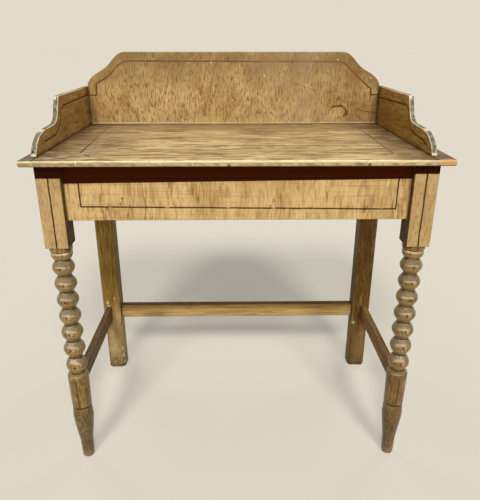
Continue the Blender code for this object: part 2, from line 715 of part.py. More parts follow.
def build_fasteners(top_boards, back, sides, group):
    """Make the gallery's screws, driven up through the top, and the nails at its corners."""
    front_board, rear_board = top_boards
    head_level = TOP_UNDERSIDE + 2 * CLEARANCE
    for index, place in enumerate((-1, 0, 1), start=1):
        spot = (GALLERY_MIDDLE + place * BACK_SCREW_SPACING, BACK_BOARD_MIDDLE, head_level)
        fastener("gallery_back_screw_%d" % index, screw_profile, spot, (0, 0, 0), (rear_board, back), group)
    for side, hand in (("left", -1), ("right", 1)):
        across = GALLERY_MIDDLE + hand * SIDE_BOARD_MIDDLE
        spots = ((front_board, GALLERY_FRONT + SIDE_SCREW_FRONT_REACH),
                 (rear_board, GALLERY_REAR - SIDE_SCREW_BACK_REACH))
        for index, (board, along) in enumerate(spots, start=1):
            fastener("gallery_%s_screw_%d" % (side, index), screw_profile, (across, along, head_level),
                     (0, 0, 0), (board, sides[hand]), group)
        start = GALLERY_MIDDLE + hand * (SIDE_BOARD_OUTER - 2 * CLEARANCE)
        heights = (GALLERY_BASE + NAIL_LOW_HEIGHT, GALLERY_BASE + SIDE_BOARD_HEIGHT - NAIL_HIGH_DROP)
        for index, height in enumerate(heights, start=1):
            fastener("gallery_%s_nail_%d" % (side, index), nail_profile, (start, BACK_BOARD_MIDDLE, height),
                     (0, -hand * math.pi / 2, 0), (sides[hand], back), group)


def build_washstand():
    """Make every piece of the washstand under its sub-assembly."""
    washstand = new_group("painted_washstand_origin")
    top_group = new_group("top_assembly", washstand)
    gallery_group = new_group("gallery_assembly", washstand)
    frame_group = new_group("frame_assembly", washstand)
    fixing_group = new_group("fixings", washstand)
    top_boards = build_top(top_group)
    back, sides = build_gallery(gallery_group)
    front_legs = build_front_legs(frame_group)
    back_legs = build_back_legs(frame_group)
    build_aprons(front_legs, back_legs, frame_group)
    build_back_stretcher(back_legs, frame_group)
    build_side_stretchers(front_legs, back_legs, frame_group)
    build_glue_blocks(fixing_group)
    build_fasteners(top_boards, back, sides, fixing_group)


clear_scene()
PARTS = new_collection("painted_washstand")
CUTTERS = new_collection("cutters")
build_washstand()
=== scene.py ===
"""Looks of a painted pine washstand.

Worn scumble graining, thin brown lining and softened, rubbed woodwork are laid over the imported
solids. Metres, +Z up: X runs along the front and Y from front to back.
"""

import logging
import math
import random
from dataclasses import dataclass, field
from enum import Enum
from functools import reduce
from typing import Any, Callable, Iterator, Protocol

import bmesh
import bpy
from mathutils import Matrix, Vector, noise


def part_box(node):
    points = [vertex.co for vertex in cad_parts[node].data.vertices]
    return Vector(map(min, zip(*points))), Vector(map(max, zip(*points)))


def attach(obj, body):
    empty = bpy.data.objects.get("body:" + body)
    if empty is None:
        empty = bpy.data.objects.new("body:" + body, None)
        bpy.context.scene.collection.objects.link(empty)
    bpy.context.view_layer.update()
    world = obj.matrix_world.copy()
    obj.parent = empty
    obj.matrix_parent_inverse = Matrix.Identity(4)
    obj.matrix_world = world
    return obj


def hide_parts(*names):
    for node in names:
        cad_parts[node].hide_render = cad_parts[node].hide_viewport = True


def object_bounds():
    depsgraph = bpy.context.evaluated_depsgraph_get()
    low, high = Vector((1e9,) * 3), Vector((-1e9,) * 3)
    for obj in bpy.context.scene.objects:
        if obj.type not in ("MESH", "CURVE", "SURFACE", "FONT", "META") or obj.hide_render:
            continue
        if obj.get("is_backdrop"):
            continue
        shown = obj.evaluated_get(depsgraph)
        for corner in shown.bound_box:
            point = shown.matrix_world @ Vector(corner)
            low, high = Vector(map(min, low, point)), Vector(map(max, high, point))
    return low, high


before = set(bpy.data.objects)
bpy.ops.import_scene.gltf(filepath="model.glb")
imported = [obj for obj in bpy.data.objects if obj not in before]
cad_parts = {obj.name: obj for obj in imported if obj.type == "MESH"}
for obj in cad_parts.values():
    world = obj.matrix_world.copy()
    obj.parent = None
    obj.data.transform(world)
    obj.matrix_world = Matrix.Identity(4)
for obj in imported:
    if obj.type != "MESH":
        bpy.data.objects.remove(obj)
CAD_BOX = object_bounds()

LOG = logging.getLogger("washstand")
Colour = tuple[float, float, float]
Point = tuple[float, float, float]
Flat = tuple[float, float]
Outline = list[Flat]

PHOTO_LONG_SIDE = 500
SENSOR_WIDTH = 36.0
SHARP_ANGLE = math.radians(32)
CREASE_ANGLE = math.radians(50)
STRAIGHT = 0.999
FACING = 0.9
SAME_SPOT = 1e-6
ARRIS = "arris"
SIDES = (("left", -1), ("right", 1))
SEED_WAY = (1.0, 1.7, 0.6)
RUB_WAY = Vector((1.0, 0.7, 0.3))
FINE_RUB = 3.7


def screen(red: int, green: int, blue: int) -> Colour:
    """Give the linear colour of a screen colour.

    Args:
        red, green, blue: Screen values from 0 to 255.

    Returns:
        The linear red, green and blue.
    """
    shares = (value / 255 for value in (red, green, blue))
    return tuple(((share + 0.055) / 1.055) ** 2.4 for share in shares)


def shades(*colours: tuple[int, int, int]) -> tuple[Colour, ...]:
    """Give the linear colours of some screen colours."""
    return tuple(screen(*colour) for colour in colours)


def between(start: Flat, end: Flat, share: float) -> Flat:
    """Give the point at a share of the way from one point to another."""
    return tuple(first + (last - first) * share for first, last in zip(start, end))


def middle_of(node: str) -> Vector:
    """Give the middle of a solid's box."""
    low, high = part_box(node)
    return (low + high) / 2


class Axis(Enum):
    """A direction that a finish is measured along."""

    X = "X"
    Y = "Y"
    Z = "Z"
    SPREAD = "distance from the middle"


class Run(Enum):
    """The way that the grainer's strokes run."""

    ALONG = 0
    DEEP = 1
    UPRIGHT = 2

    def scales(self, along: float, across: float) -> Point:
        """Give noise scales that stretch a pattern along this run."""
        return tuple(along if index == self.value else across for index in range(3))


class Term:
    """A shader value that takes part in Python sums."""

    def __init__(self, wiring: "Wiring", socket: bpy.types.NodeSocket) -> None:
        """Wrap a node's output socket."""
        self.wiring = wiring
        self.socket = socket

    def __add__(self, other: Any) -> "Term":
        """Sum of two values."""
        return self.wiring.math("ADD", self, other)

    def __sub__(self, other: Any) -> "Term":
        """Difference of two values."""
        return self.wiring.math("SUBTRACT", self, other)

    def __rsub__(self, other: Any) -> "Term":
        """Difference, with this value taken away."""
        return self.wiring.math("SUBTRACT", other, self)

    def __mul__(self, other: Any) -> "Term":
        """Product of two values."""
        return self.wiring.math("MULTIPLY", self, other)

    def __truediv__(self, other: Any) -> "Term":
        """Quotient of two values."""
        return self.wiring.math("DIVIDE", self, other)

    def __rtruediv__(self, other: Any) -> "Term":
        """Quotient, with this value below the line."""
        return self.wiring.math("DIVIDE", other, self)

    def __abs__(self) -> "Term":
        """Value without its sign."""
        return self.wiring.math("ABSOLUTE", self)

    __radd__ = __add__
    __rmul__ = __mul__


class Wiring:
    """Writes the nodes of one tree and hands back terms for Python expressions."""

    def __init__(self, tree: bpy.types.NodeTree) -> None:
        """Take up a node tree."""
        self.tree = tree

    def add(self, kind: str, settings: dict | None = None, inputs: dict | None = None,
            output: int | str = 0) -> Term:
        """Add a node.

        Args:
            kind: The node's type, without its ShaderNode prefix.
            settings: The node's own settings, which are set first.
            inputs: Values or terms for its sockets, by name or number.
            output: The output socket to hand back.

        Returns:
            The chosen output as a term.
        """
        node = self.tree.nodes.new("ShaderNode" + kind)
        for key, value in (settings or {}).items():
            setattr(node, key, value)
        self.feed(node, inputs or {})
        return Term(self, node.outputs[output])

    def feed(self, node: bpy.types.Node, inputs: dict) -> None:
        """Link terms to a node's sockets, or set their plain values."""
        for key, value in inputs.items():
            socket = node.inputs[key]
            if isinstance(value, Term):
                self.tree.links.new(value.socket, socket)
            else:
                socket.default_value = (*value, 1.0) if socket.type == "RGBA" else value

    def math(self, operation: str, *values: Any) -> Term:
        """Add a Math node."""
        return self.add("Math", {"operation": operation}, dict(enumerate(values)))

    def vector(self, operation: str, *values: Any, output: int | str = 0) -> Term:
        """Add a Vector Math node."""
        return self.add("VectorMath", {"operation": operation}, dict(enumerate(values)), output)

    def length(self, across: Term, upward: Term) -> Term:
        """Give the length of a way from its two parts."""
        return self.math("SQRT", across * across + upward * upward)

    def nearest(self, gaps: list[Term]) -> Term:
        """Give the smallest of some distances."""
        return reduce(lambda least, gap: self.math("MINIMUM", least, gap), gaps)

    def rise(self, value: Any, low: float, high: float) -> Term:
        """Give 0 below a low value and 1 above a high one, smooth between; falls where low is higher."""
        if low > high:
            return 1.0 - self.rise(value, high, low)
        inputs = {"Value": value, "From Min": low, "From Max": high}
        return self.add("MapRange", {"interpolation_type": "SMOOTHSTEP"}, inputs)

    def mix(self, share: Any, under: Any, over: Any) -> Term:
        """Lay one colour over another by a share from 0 to 1."""
        return self.add("Mix", {"data_type": "RGBA"}, {0: share, 6: under, 7: over}, 2)

    def seen(self) -> Term:
        """Give 1 for rays that show the background: from the camera, in gloss or through glass."""
        kinds = ("Camera", "Glossy", "Transmission")
        rays = [self.add("LightPath", output=f"Is {kind} Ray") for kind in kinds]
        return reduce(lambda any_ray, ray: self.math("MAXIMUM", any_ray, ray), rays)


class Brush(Wiring):
    """Paints one material by the place on its piece."""

    def __init__(self, name: str, middle: float = 0.0) -> None:
        """Start a material with a plain Principled shader; spread is measured from a middle."""
        self.material = bpy.data.materials.new(name)
        self.material.use_nodes = True
        super().__init__(self.material.node_tree)
        self.shader = self.tree.nodes["Principled BSDF"]
        self.middle = middle
        self.axes: dict[Axis, Term] = {}
        self.place = self.add("TexCoord", output="Object")

    def axis(self, axis: Axis) -> Term:
        """Give the place on the piece along one axis."""
        if axis not in self.axes:
            if axis is Axis.SPREAD:
                self.axes[axis] = abs(self.axis(Axis.X) - self.middle)
            else:
                self.axes[axis] = self.add("SeparateXYZ", None, {0: self.place}, axis.value)
        return self.axes[axis]

    def swayed(self, reach: float, scale: float, detail: float) -> Term:
        """Give the place on the piece, moved by a slow wave.

        Args:
            reach: How far it moves, in metres.
            scale: Waves per metre.
            detail: Number of finer layers of the wave.

        Returns:
            The moved place.
        """
        wave = self.add("TexNoise", None, {"Vector": self.place, "Scale": scale, "Detail": detail}, "Color")
        swing = self.vector("SUBTRACT", wave, (0.5, 0.5, 0.5))
        return self.vector("MULTIPLY_ADD", swing, (reach, reach, reach), self.place)

    def noise(self, scales: Point | float, detail: float = 3.0, roughness: float = 0.55, seed: float = 0.0,
              warp: float = 0.0) -> Term:
        """Give cloudy noise.

        Args:
            scales: Features per metre along X, Y and Z, or one number for all three.
            detail: Number of finer layers.
            roughness: Weight of the finer layers.
            seed: Shift that makes one noise unlike another.
            warp: How far, in metres, a slow wave bends the pattern.

        Returns:
            A value between 0 and 1, mostly near 0.5.
        """
        scales = scales if isinstance(scales, tuple) else (scales, scales, scales)
        spot = self.swayed(warp, 16.0, 2.0) if warp else self.place
        spot = self.vector("MULTIPLY_ADD", spot, scales, tuple(seed * way for way in SEED_WAY))
        inputs = {"Vector": spot, "Scale": 1.0, "Detail": detail, "Roughness": roughness}
        return self.add("TexNoise", None, inputs)

    def arris(self) -> Term:
        """Give 1 on the rounded arrises of the piece and 0 on its faces."""
        return self.add("Attribute", {"attribute_name": ARRIS}, output="Fac")

    def finish(self, inputs: dict[str, Any], height: Term, strength: float,
               depth: float) -> bpy.types.Material:
        """Set the shader's inputs, raise the surface and give the material.

        Args:
            inputs: Values or terms for the shader's sockets, by name.
            height: The surface's height map.
            strength: How strongly the heights show.
            depth: How deep they go, in metres.

        Returns:
            The finished material.
        """
        bump = self.add("Bump", None, {"Strength": strength, "Distance": depth, "Height": height})
        self.feed(self.shader, {**inputs, "Normal": bump})
        return self.material


LINE_BROWN = screen(54, 22, 10)
GRIME = screen(74, 58, 38)
SOOT = screen(30, 22, 14)
CREAM = screen(238, 226, 196)
# The next two colours are painted shadow for the dark band under the top's overhang on the front apron: the
# first covers the whole band, the second is laid over its upper part, inside the real shadow, to keep it
# red-brown.
PAINTED_SHADOW = screen(58, 22, 6)
PAINTED_SHADE_RED = screen(137, 60, 20)


class Mark(Protocol):
    """Anything that a brush can lay over a colour."""

    def lay(self, brush: Brush, under: Term) -> Term:
        """Lay the mark over a colour."""


@dataclass(frozen=True)
class Face:
    """A flat face across one axis, on which marks are placed by their other two coordinates."""

    axis: int
    place: float

    def at(self, *points: Flat) -> tuple[Point, ...]:
        """Give points on the face."""
        return tuple((*point[:self.axis], self.place, *point[self.axis:]) for point in points)


@dataclass(frozen=True)
class Limit:
    """A stretch of one axis that a mark keeps to."""

    axis: Axis
    low: float
    high: float
    blur: float = 0.0005

    def mask(self, brush: Brush) -> Term:
        """Give 1 inside the stretch."""
        value = brush.axis(self.axis)
        start = brush.rise(value, self.low - self.blur, self.low + self.blur)
        return start * brush.rise(value, self.high + self.blur, self.high - self.blur)


@dataclass(frozen=True)
class Line:
    """A painted line through a few points on a face."""

    points: tuple[Point, ...]
    strength: float = 0.92
    width: float = 0.0033
    worn: float = 0.34
    tremor: float = 0.0014
    colour: Colour = LINE_BROWN
    wave: Flat = (34.0, 1.0)
    blur: float = 0.0005
    left: float = 0.3

    def gap(self, brush: Brush, spot: Term, start: Vector, end: Vector) -> Term:
        """Give the distance from a place to one straight stretch of the line.

        Args:
            brush: The material that is painted.
            spot: The place on the piece.
            start: Where the stretch begins.
            end: Where it ends.

        Returns:
            The distance in metres.
        """
        run = end - start
        offset = brush.vector("SUBTRACT", spot, tuple(start))
        share = brush.vector("DOT_PRODUCT", offset, tuple(run / run.length_squared), output="Value")
        share = brush.math("MINIMUM", brush.math("MAXIMUM", share, 0.0), 1.0)
        foot = brush.vector("MULTIPLY_ADD", tuple(run), share, tuple(start))
        return brush.vector("DISTANCE", spot, foot, output="Value")

    def lay(self, brush: Brush, under: Term) -> Term:
        """Paint the line over a colour, with a hand's small tremor and worn stretches."""
        spot = brush.swayed(self.tremor, *self.wave)
        corners = [Vector(point) for point in self.points]
        gap = brush.nearest([self.gap(brush, spot, *ends) for ends in zip(corners, corners[1:])])
        drawn = brush.rise(gap, self.width / 2 + self.blur, self.width / 2 - self.blur)
        kept = brush.rise(brush.noise(55.0, seed=7.0), self.worn - 0.07, self.worn + 0.09)
        share = kept * (1 - self.left) + self.left
        return brush.mix(drawn * share * self.strength, under, self.colour)


@dataclass(frozen=True)
class Haze:
    """Dust and dirt, and in some places painted shade or a painted highlight, that thicken along an axis from
    nothing to full.
    """

    axis: Axis
    start: float
    full: float
    colour: Colour
    strength: float
    scale: float = 30.0
    limits: tuple[Limit, ...] = ()
    even: float = 0.25
    clouds: Flat = (0.25, 0.70)
    stretch: float = 1.0

    def lay(self, brush: Brush, under: Term) -> Term:
        """Lay the haze over a colour, in clouds but for its even share."""
        scales = (self.scale / self.stretch, self.scale, self.scale)
        clouds = brush.rise(brush.noise(scales, 4.0, 0.65, seed=11.0), *self.clouds)
        share = clouds * (1.0 - self.even) + self.even
        mask = brush.rise(brush.axis(self.axis), self.start, self.full) * share * self.strength
        for limit in self.limits:
            mask = mask * limit.mask(brush)
        return brush.mix(mask, under, self.colour)


@dataclass(frozen=True)
class Spots:
    """Ragged spots of one colour and size."""

    centres: tuple[Point, ...]
    radii: Point
    colour: Colour
    strength: float
    ragged: float = 1.1
    fade: Flat = (1.15, 0.45)

    def lay(self, brush: Brush, under: Term) -> Term:
        """Lay the spots over a colour."""
        place = brush.vector("DIVIDE", brush.place, self.radii)
        gaps = []
        for centre in self.centres:
            spot = tuple(value / radius for value, radius in zip(centre, self.radii))
            gaps.append(brush.vector("DISTANCE", place, spot, output="Value"))
        gap = brush.nearest(gaps)
        gap = gap + (brush.noise(150.0, seed=15.0) - 0.5) * self.ragged
        return brush.mix(brush.rise(gap, *self.fade) * self.strength, under, self.colour)


@dataclass(frozen=True)
class Knot:
    """A knot that shows through the paint of an upright board that faces the front."""

    centre: Point
    width: float
    height: float
    strength: float
    pale: Colour = screen(214, 178, 116)
    dark: Colour = screen(74, 44, 18)

    def lay(self, brush: Brush, under: Term) -> Term:
        """Lay the knot's pale heart and the dark arc over it."""
        across = (brush.axis(Axis.X) - self.centre[0]) / self.width
        upward = (brush.axis(Axis.Z) - self.centre[2]) / self.height
        ripple = (brush.noise(60.0, seed=21.0) - 0.5) * 0.4
        radius = brush.length(across, upward) + ripple
        broken = brush.rise(brush.noise(90.0, 2.0, seed=23.0), 0.28, 0.48)
        lean = brush.rise(upward + across * 0.8, -0.55, 0.25)
        ring = brush.rise(abs(radius - 0.85), 0.24, 0.05) * broken * lean
        crumbs = brush.rise(brush.noise(330.0, 2.0, seed=25.0), 0.50, 0.62)
        heart = brush.rise(radius, 0.95, 0.55) * crumbs * 0.8
        return brush.mix(ring * self.strength, brush.mix(heart, under, self.pale), self.dark)


@dataclass(frozen=True)
class BobbinDots:
    """One brown dot on the front of each bobbin, and often a rubbed pink patch beside it."""

    axis_x: float
    axis_y: float
    top: float
    bottom: float
    count: int
    grade: float
    drop: float = 0.44
    radius: float = 0.0023
    patch_offset: float = 0.0048
    patch_size: float = 1.9
    patch: Colour = screen(214, 158, 118)
    unsteady: Flat = (0.004, 0.08)

    def lay(self, brush: Brush, under: Term) -> Term:
        """Paint the dots over a colour."""
        pitch = (self.top - self.bottom) / self.count
        share = (self.top - brush.axis(Axis.Z)) / (self.top - self.bottom)
        first = 1 - self.grade
        root = brush.math("SQRT", share * (4 * self.grade) + first * first)
        steps = (root - first) * (self.count / (2 * self.grade))
        index = brush.math("FLOOR", steps)
        jitter = brush.add("TexWhiteNoise", {"noise_dimensions": "1D"}, {"W": index + self.axis_x * 31})
        upward = (steps - index - self.drop + (jitter - 0.5) * self.unsteady[1]) * pitch
        across = brush.axis(Axis.X) - self.axis_x + (jitter - 0.5) * self.unsteady[0]
        bounds = Limit(Axis.Z, self.bottom, self.top).mask(brush)
        front = brush.rise(brush.axis(Axis.Y), self.axis_y, self.axis_y - 0.004) * bounds
        rubbed = brush.rise(jitter, 0.30, 0.55) * 0.6
        for offset, size, share, colour in ((self.patch_offset, self.patch_size, rubbed, self.patch),
                                            (0.0, 1.0, 0.95, LINE_BROWN)):
            gap = brush.length(across - offset, upward) / (self.radius * size)
            under = brush.mix(brush.rise(gap, 1.35, 0.75) * front * share, under, colour)
        return under


@dataclass(frozen=True)
class Necks:
    """Dirt and painted shade where a turning is thin, and a grey dusting with a painted sheen on what faces
    up.
    """

    axis_x: float
    axis_y: float
    thin: float
    thick: float
    bottom: float
    strength: float = 0.85
    dust_and_sheen: float = 0.85
    rubbed: float = 0.60
    dust_and_sheen_colour: Colour = screen(116, 108, 80)
    belly_colour: Colour = screen(214, 180, 116)
    neck_dirt_and_shade: Colour = screen(56, 36, 6)

    def lay(self, brush: Brush, under: Term) -> Term:
        """Lay dirt and painted shade in the necks, a grey dusting with a painted sheen on the shoulders, and
        a rubbed, paler belly below.
        """
        across = brush.axis(Axis.X) - self.axis_x
        deep = brush.axis(Axis.Y) - self.axis_y
        radius = brush.length(across, deep)
        clouds = brush.noise(120.0, seed=31.0)
        above = brush.rise(brush.axis(Axis.Z), self.bottom - 0.001, self.bottom + 0.001)
        # The necks darken: dirt and painted shade.
        grime_and_painted_light = brush.rise(radius + (clouds - 0.5) * 0.004, self.thick, self.thin) * above * self.strength
        upward = brush.add("SeparateXYZ", None, {0: brush.add("NewGeometry", output="Normal")}, "Z")
        # Upward faces go grey: a dusting with a painted sheen.
        greyed = brush.rise(upward, 0.14, 0.50) * (clouds * 0.6 + 0.5) * above * self.dust_and_sheen
        belly = brush.rise(upward, 0.0, -0.40) * (clouds * 0.8 + 0.4) * above * self.rubbed
        colour = brush.mix(greyed, under, self.dust_and_sheen_colour)
        colour = brush.mix(belly, colour, self.belly_colour)
        return brush.mix(grime_and_painted_light, colour, self.neck_dirt_and_shade)


@dataclass(frozen=True)
class Scumble:
    """Brushed graining under varnish, worn through to a pale ground on its arrises.

    The colours run from pale to dark. Strokes lie along one run; slow bands and short flecks
    are given as features per metre along and across that run.
    """

    name: str
    run: Run
    pale: Colour
    middle: Colour
    dark: Colour
    band: Flat = (3.0, 16.0)
    fleck: Flat = (14.0, 190.0)
    depth: float = 0.6
    warp: float = 0.0
    vein: Flat = (6.0, 34.0)
    vein_depth: float = 0.0
    vein_width: float = 0.022
    board_run: Run = Run.ALONG
    timber: float = 0.22
    ground: Colour = CREAM
    wear: float = 0.8
    rubbed: float = 0.12
    roughness: float = 0.46
    gloss: float = 0.10
    sheen: Colour = (1.0, 0.6, 0.35)
    coat: float = 0.0
    coat_roughness: float = 0.22
    scratched: float = 0.25
    middle_x: float = 0.0
    lining: tuple[Mark, ...] = ()
    # Marks laid last: dirt and stains, and on some pieces painted shade, painted shadow and painted
    # highlights.
    grime_and_painted_light: tuple[Mark, ...] = ()

    def veins(self, brush: Brush) -> Term:
        """Give thin wavy strokes, where a stretched noise passes its middle value."""
        contour = brush.noise(self.run.scales(*self.vein), 2.0, 0.5, seed=4.0, warp=self.warp)
        kept = brush.rise(brush.noise(26.0, 2.0, seed=6.0), 0.40, 0.58)
        return brush.rise(abs(contour - 0.5), self.vein_width, self.vein_width * 0.2) * kept

    def make(self) -> bpy.types.Material:
        """Mix the finish and give its material."""
        brush = Brush(self.name, self.middle_x)
        slow = brush.noise(self.run.scales(*self.band), 4.0, 0.6, seed=1.0, warp=self.warp)
        flecks = brush.noise(self.run.scales(*self.fleck), 3.0, 0.6, seed=2.0, warp=self.warp)
        hairs = brush.noise(self.run.scales(self.fleck[0] * 2.2, self.fleck[1] * 4), 2.0, 0.6, seed=3.0,
                            warp=self.warp)
        timber = brush.noise(self.board_run.scales(7.0, 420.0), 3.0, 0.5, seed=5.0)
        speckle = brush.noise(260.0, 3.0, 0.6, seed=10.0)
        colour = brush.mix(brush.rise(slow, 0.36, 0.64), self.middle, self.pale)
        colour = brush.mix(brush.rise(flecks, 0.47, 0.64) * self.depth, colour, self.dark)
        colour = brush.mix(brush.rise(hairs, 0.50, 0.68) * self.depth * 0.7, colour, self.dark)
        colour = brush.mix(brush.rise(speckle, 0.50, 0.70) * self.depth * 0.5, colour, self.dark)
        colour = brush.mix(brush.rise(speckle, 0.46, 0.28) * self.depth * 0.4, colour, self.pale)
        colour = brush.mix(brush.rise(timber, 0.50, 0.70) * self.timber, colour, self.dark)
        scratch = brush.noise(self.run.scales(self.fleck[0] * 1.6, self.fleck[1] * 2.4), 2.0, 0.6, seed=14.0)
        colour = brush.mix(brush.rise(scratch, 0.57, 0.70) * self.scratched, colour, self.ground)
        if self.vein_depth:
            colour = brush.mix(self.veins(brush) * self.vein_depth, colour, self.dark)
        for mark in self.lining:
            colour = mark.lay(brush, colour)
        chips = brush.noise(75.0, 4.0, 0.65, seed=8.0)
        worn = brush.rise(brush.arris() + (chips - 0.5) * 2.4, 0.45, 1.0) * brush.arris() * self.wear
        patch = brush.rise(brush.noise(11.0, 6.0, 0.68, seed=9.0), 0.60, 0.74) * self.rubbed
        bare = brush.math("MAXIMUM", worn, patch)
        colour = brush.mix(bare, colour, self.ground)
        for mark in self.grime_and_painted_light:
            colour = mark.lay(brush, colour)
        inputs = {
            "Base Color": colour,
            "Roughness": self.roughness + flecks * 0.16 + bare * 0.2 - slow * 0.1,
            "Specular IOR Level": self.gloss,
            "Specular Tint": self.sheen,
            "Coat Weight": self.coat,
            "Coat Roughness": self.coat_roughness,
        }
        return brush.finish(inputs, hairs * 0.4 + timber * 0.5 + flecks * 0.3 - bare * 0.6, 0.35, 0.0006)


@dataclass(frozen=True)
class BarePine:
    """Pine left without paint on the hidden sides, greyed by age."""

    name: str
    run: Run
    pale: Colour = screen(196, 158, 108)
    dark: Colour = screen(138, 100, 60)

    def make(self) -> bpy.types.Material:
        """Mix the finish and give its material."""
        brush = Brush(self.name)
        rings = brush.noise(self.run.scales(2.2, 95.0), 4.0, 0.6, seed=41.0, warp=0.008)
        fibre = brush.noise(self.run.scales(18.0, 700.0), 2.0, 0.6, seed=42.0)
        age = brush.noise(9.0, 5.0, 0.65, seed=43.0)
        saw = brush.noise(self.run.scales(420.0, 8.0), 1.0, 0.5, seed=44.0)
        colour = brush.mix(brush.rise(rings, 0.42, 0.64), self.pale, self.dark)
        colour = brush.mix(brush.rise(fibre, 0.5, 0.75) * 0.4, colour, self.dark)
        colour = brush.mix(brush.rise(age, 0.45, 0.75) * 0.55, colour, GRIME)
        inputs = {"Base Color": colour, "Roughness": 0.7 + fibre * 0.25}
        return brush.finish(inputs, rings * 0.5 + fibre * 0.5 + saw * 0.7, 0.4, 0.0006)


@dataclass(frozen=True)
class Iron:
    """Old iron with rust in its hollows."""

    name: str
    metal: Colour = screen(84, 78, 72)
    rust: Colour = screen(92, 52, 30)

    def make(self) -> bpy.types.Material:
        """Mix the finish and give its material."""
        brush = Brush(self.name)
        bloom = brush.rise(brush.noise(420.0, 4.0, 0.65), 0.42, 0.6)
        inputs = {
            "Base Color": brush.mix(bloom, self.metal, self.rust),
            "Metallic": 0.85 - bloom * 0.75,
            "Roughness": 0.42 + bloom * 0.4,
        }
        return brush.finish(inputs, bloom, 0.3, 0.0003)


